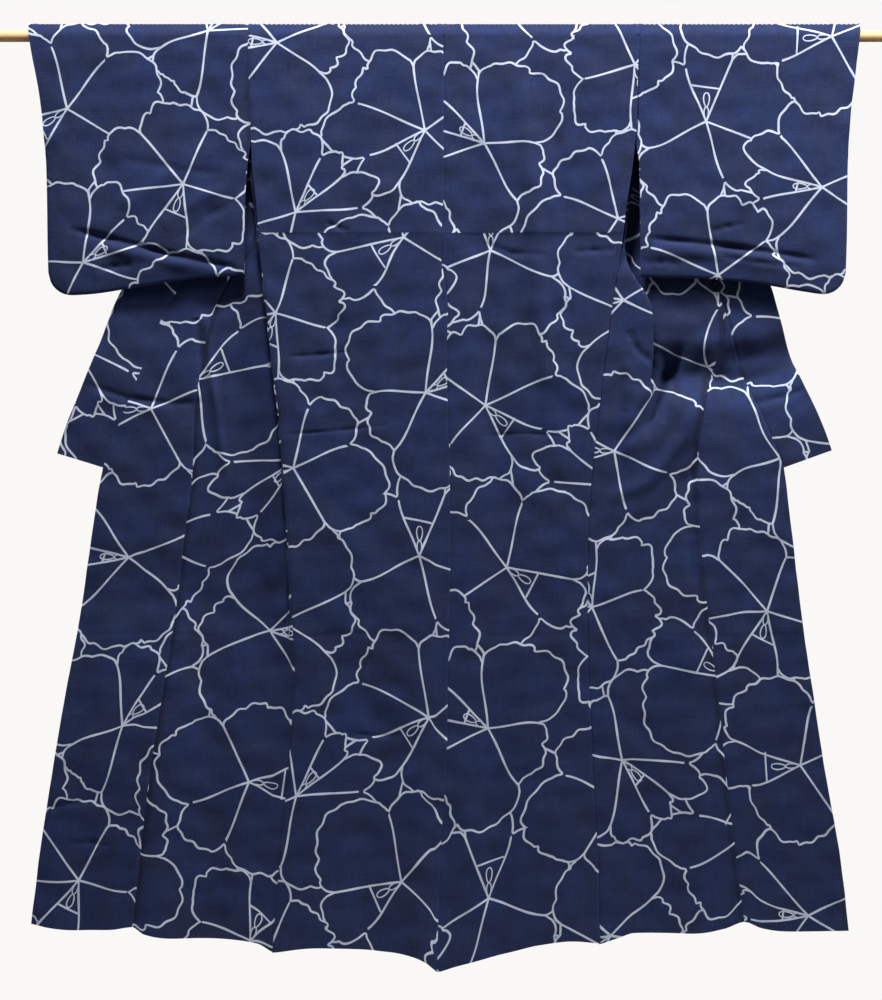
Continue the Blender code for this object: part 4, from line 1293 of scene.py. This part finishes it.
def material(name):
    made = bpy.data.materials.new(name)
    made.use_nodes = True
    return made, made.node_tree, made.node_tree.nodes["Principled BSDF"]


def plug(tree, value, socket):
    """A number or colour is set on the socket, and an output is linked to it."""
    if isinstance(value, (int, float, tuple)):
        socket.default_value = value
    else:
        tree.links.new(value, socket)


def source(tree, kind, key, value, output=0):
    node = tree.nodes.new(kind)
    setattr(node, key, value)
    return node.outputs[output]


def formula(tree, operation, *values):
    node = tree.nodes.new("ShaderNodeMath")
    node.operation = operation
    for slot, value in enumerate(values):
        plug(tree, value, node.inputs[slot])
    return node.outputs[0]


def mixed(tree, share, first, second):
    node = tree.nodes.new("ShaderNodeMix")
    node.data_type = "RGBA"
    for key, value in ((0, share), (6, first), (7, second)):
        plug(tree, value, node.inputs[key])
    return node.outputs[2]


def scaled(tree, operation, vector, key, factor):
    node = tree.nodes.new("ShaderNodeVectorMath")
    node.operation = operation
    tree.links.new(vector, node.inputs[0])
    plug(tree, factor, node.inputs[key])
    return node.outputs[0]


def stretched_noise(tree, vector, scale, detail, roughness):
    noise = tree.nodes.new("ShaderNodeTexNoise")
    noise.noise_dimensions = "2D"
    for key, value in (("Scale", 1.0), ("Detail", detail), ("Roughness", roughness)):
        noise.inputs[key].default_value = value
    tree.links.new(scaled(tree, "MULTIPLY", vector, 1, scale), noise.inputs["Vector"])
    return noise.outputs["Fac"]


def ranged(tree, value, low, high, to_low, to_high):
    node = tree.nodes.new("ShaderNodeMapRange")
    for key, number in enumerate((value, low, high, to_low, to_high)):
        plug(tree, number, node.inputs[key])
    return node.outputs[0]


def bumped(tree, shader, height, strength, depth):
    bump = tree.nodes.new("ShaderNodeBump")
    bump.inputs["Strength"].default_value = strength
    bump.inputs["Distance"].default_value = depth
    tree.links.new(height, bump.inputs["Height"])
    tree.links.new(bump.outputs[0], shader.inputs["Normal"])


def cotton(name, strength):
    """Indigo cotton in plain weave with slubs, and the print's undyed lines, with painted shade along seams
    that have an allowance behind; strength is the print's.
    """
    if name in bpy.data.materials:
        return bpy.data.materials[name]
    made, tree, shader = material(name)
    cloth = source(tree, "ShaderNodeUVMap", "uv_map", "Cloth")
    ink, edge, hem, painted_shade_seams = (
        source(tree, "ShaderNodeAttribute", "attribute_name", key, "Fac")
        for key in ("ink", "edge", "hem", "painted_seam_shade")
    )
    warp_slub, weft_slub, broad, cloudy, grain = (stretched_noise(tree, cloth, *row) for row in CLOTH_NOISES)
    split = tree.nodes.new("ShaderNodeSeparateXYZ")
    tree.links.new(cloth, split.inputs[0])
    across, along = split.outputs["X"], split.outputs["Y"]
    weft = formula(tree, "SINE", formula(tree, "MULTIPLY", along, THREADS))
    warp = formula(tree, "SINE", formula(tree, "MULTIPLY", across, THREADS))
    weave = formula(tree, "MULTIPLY", weft, warp)
    slub = formula(tree, "ADD", warp_slub, weft_slub)

    shade = ranged(tree, slub, 0.72, 1.28, 0.80, 1.22)
    for value, *numbers in (
        (cloudy, 0.3, 0.7, 0.90, 1.10),
        (weave, -1.0, 1.0, 0.93, 1.07),
        (edge, 0.0, 0.0020, 1.10, 1.0),
        # painted shade: the colour darkens where a seam allowance lies behind
        (painted_shade_seams, 0.0, 1.0, 1.0, 0.55),
    ):
        shade = formula(tree, "MULTIPLY", shade, ranged(tree, value, *numbers))
    indigo = mixed(tree, ranged(tree, broad, 0.35, 0.65, 0.0, 1.0), INDIGO, INDIGO_WARM)
    dyed = scaled(tree, "SCALE", indigo, "Scale", shade)
    undyed = mixed(tree, ranged(tree, cloudy, 0.35, 0.70, 0.0, 1.0), UNDYED, UNDYED_TINTED)
    shown = formula(tree, "MULTIPLY", ink, ranged(tree, grain, 0.25, 0.60, 0.86 * strength, strength))
    colour = mixed(tree, shown, dyed, undyed)

    beside = formula(tree, "MULTIPLY", formula(tree, "ADD", across, along), STITCHES)
    from_line = formula(tree, "ABSOLUTE", formula(tree, "SUBTRACT", hem, STITCH_LINE))
    stitch = formula(
        tree,
        "MULTIPLY",
        formula(tree, "LESS_THAN", from_line, 0.0005),
        formula(tree, "GREATER_THAN", formula(tree, "SINE", beside), 0.80),
    )
    colour = mixed(tree, formula(tree, "MULTIPLY", stitch, STITCH_SHOWS), colour, THREAD_COLOUR)
    tree.links.new(colour, shader.inputs["Base Color"])
    tree.links.new(ranged(tree, slub, 0.7, 1.3, 0.80, 0.94), shader.inputs["Roughness"])
    for key, value in COTTON_CONSTANTS.items():
        shader.inputs[key].default_value = value

    height = formula(tree, "MULTIPLY", weave, 0.30)
    for operation, value, weight in (("ADD", slub, 1.1), ("ADD", cloudy, 0.9), ("SUBTRACT", stitch, 1.5)):
        height = formula(tree, operation, height, formula(tree, "MULTIPLY", value, weight))
    bumped(tree, shader, height, *COTTON_BUMP)
    return made


def wood():
    made, tree, shader = material("rod_wood_grain")
    place = source(tree, "ShaderNodeUVMap", "uv_map", "Grain")
    streaks, pores, broad = (stretched_noise(tree, place, *row) for row in WOOD_NOISES)
    colour = mixed(tree, ranged(tree, streaks, 0.35, 0.68, 0.0, 1.0), WOOD_PALE, WOOD_WARM)
    colour = mixed(tree, ranged(tree, broad, 0.40, 0.75, 0.0, 0.5), colour, WOOD_DEEP)
    colour = mixed(tree, ranged(tree, pores, 0.62, 0.75, 0.0, 0.35), colour, WOOD_DEEP)
    tree.links.new(colour, shader.inputs["Base Color"])
    tree.links.new(ranged(tree, streaks, 0.3, 0.7, 0.42, 0.58), shader.inputs["Roughness"])
    bumped(tree, shader, formula(tree, "ADD", streaks, pores), *WOOD_BUMP)
    return made


def make_rod():
    """The turned rod, with rounded ends and slightly uneven sides."""
    half = ROD_LENGTH / 2
    stations = [(-half, 0.0), (-half, ROD_RADIUS - ROD_CHAMFER), (-half + 0.0005, ROD_RADIUS - 0.0007)]
    stations += [(-half + ROD_CHAMFER, ROD_RADIUS)]
    stations += [(x, ROD_RADIUS) for x in np.linspace(-half + 0.02, half - 0.02, 95)]
    stations += [(-x, r) for x, r in reversed(stations[:4])]
    verts, rows, places, faces = [], [], [], []
    for x, radius in stations:
        if radius == 0.0:
            rows.append([len(verts)] * ROD_SIDES)
            verts.append((x, 0.0, 0.0))
            continue
        rows.append(list(range(len(verts), len(verts) + ROD_SIDES)))
        for k in range(ROD_SIDES):
            angle = 2 * math.pi * k / ROD_SIDES
            uneven = 0.00010 * math.sin(9.0 * x + 2 * angle) + 0.00006 * math.sin(23.0 * x + angle)
            around = radius + (uneven if radius == ROD_RADIUS else 0.0)
            verts.append((x, around * math.cos(angle), around * math.sin(angle)))
    for r in range(len(rows) - 1):
        for k in range(ROD_SIDES):
            after = (k + 1) % ROD_SIDES
            corners = [rows[r][k], rows[r][after], rows[r + 1][after], rows[r + 1][k]]
            faces.append(list(dict.fromkeys(corners)))
            for corner in map(corners.index, faces[-1]):
                around = (k, k + 1, k + 1, k)[corner]
                places.append((stations[r + (corner > 1)][0], around * 2 * math.pi * ROD_RADIUS / ROD_SIDES))
    mesh = bpy.data.meshes.new("rod_wood")
    mesh.from_pydata(verts, [], faces)
    mesh.shade_smooth()
    mesh.uv_layers.new(name="Grain").data.foreach_set("uv", np.array(places, float).ravel())
    mesh.set_sharp_from_angle(angle=math.radians(50))
    mesh.materials.append(wood())
    rod = in_scene("rod_wood", mesh)
    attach(rod, "root")
    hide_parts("rod")


def make_stage():
    floor, _, shader = material("floor_pale")
    shader.inputs["Base Color"].default_value = FLOOR_COLOUR
    shader.inputs["Roughness"].default_value = FLOOR_ROUGHNESS
    mesh = bpy.data.meshes.new("floor")
    turns = [2 * math.pi * k / FLOOR_SIDES for k in range(FLOOR_SIDES)]
    ring = [(FLOOR_RADIUS * math.cos(turn), FLOOR_RADIUS * math.sin(turn), FLOOR) for turn in turns]
    mesh.from_pydata(ring, [], [list(range(FLOOR_SIDES))])
    mesh.materials.append(floor)
    in_scene("floor", mesh)

    world = bpy.data.worlds.new("pale_room")
    world.use_nodes = True
    background = world.node_tree.nodes["Background"]
    background.inputs["Color"].default_value = WALL_COLOUR
    seen = world.node_tree.nodes.new("ShaderNodeLightPath").outputs["Is Camera Ray"]
    strength = ranged(world.node_tree, seen, 0.0, 1.0, ROOM_LIGHT, 1.0)
    world.node_tree.links.new(strength, background.inputs["Strength"])
    bpy.context.scene.world = world
    bpy.context.scene.view_settings.view_transform = "Standard"

    for name, place, size, energy, colour in LIGHTS:
        lamp = bpy.data.lights.new(name, "AREA")
        lamp.shape, lamp.size, lamp.energy, lamp.color = "DISK", size, energy, colour
        light = in_scene(name, lamp)
        light.location = place
        light.rotation_euler = (Vector(LIT) - Vector(place)).to_track_quat("-Z", "Y").to_euler()

    lens = bpy.data.cameras.new("camera")
    lens.lens, lens.sensor_width = LENS, SENSOR
    camera = in_scene("camera", lens)
    camera.location = CAMERA
    camera.rotation_euler = (math.pi / 2, 0.0, 0.0)
    bpy.context.scene.camera = camera


make_rod()
for side_name, side_sign in (("left", -1), ("right", 1)):
    body_panel(f"body_{side_name}", side_sign).make()
    okumi_panel(f"okumi_{side_name}", side_sign).make()
    sleeve_panel(f"sleeve_{side_name}", side_sign).make()
collar_panel().make()
make_stage()

bpy.context.view_layer.update()
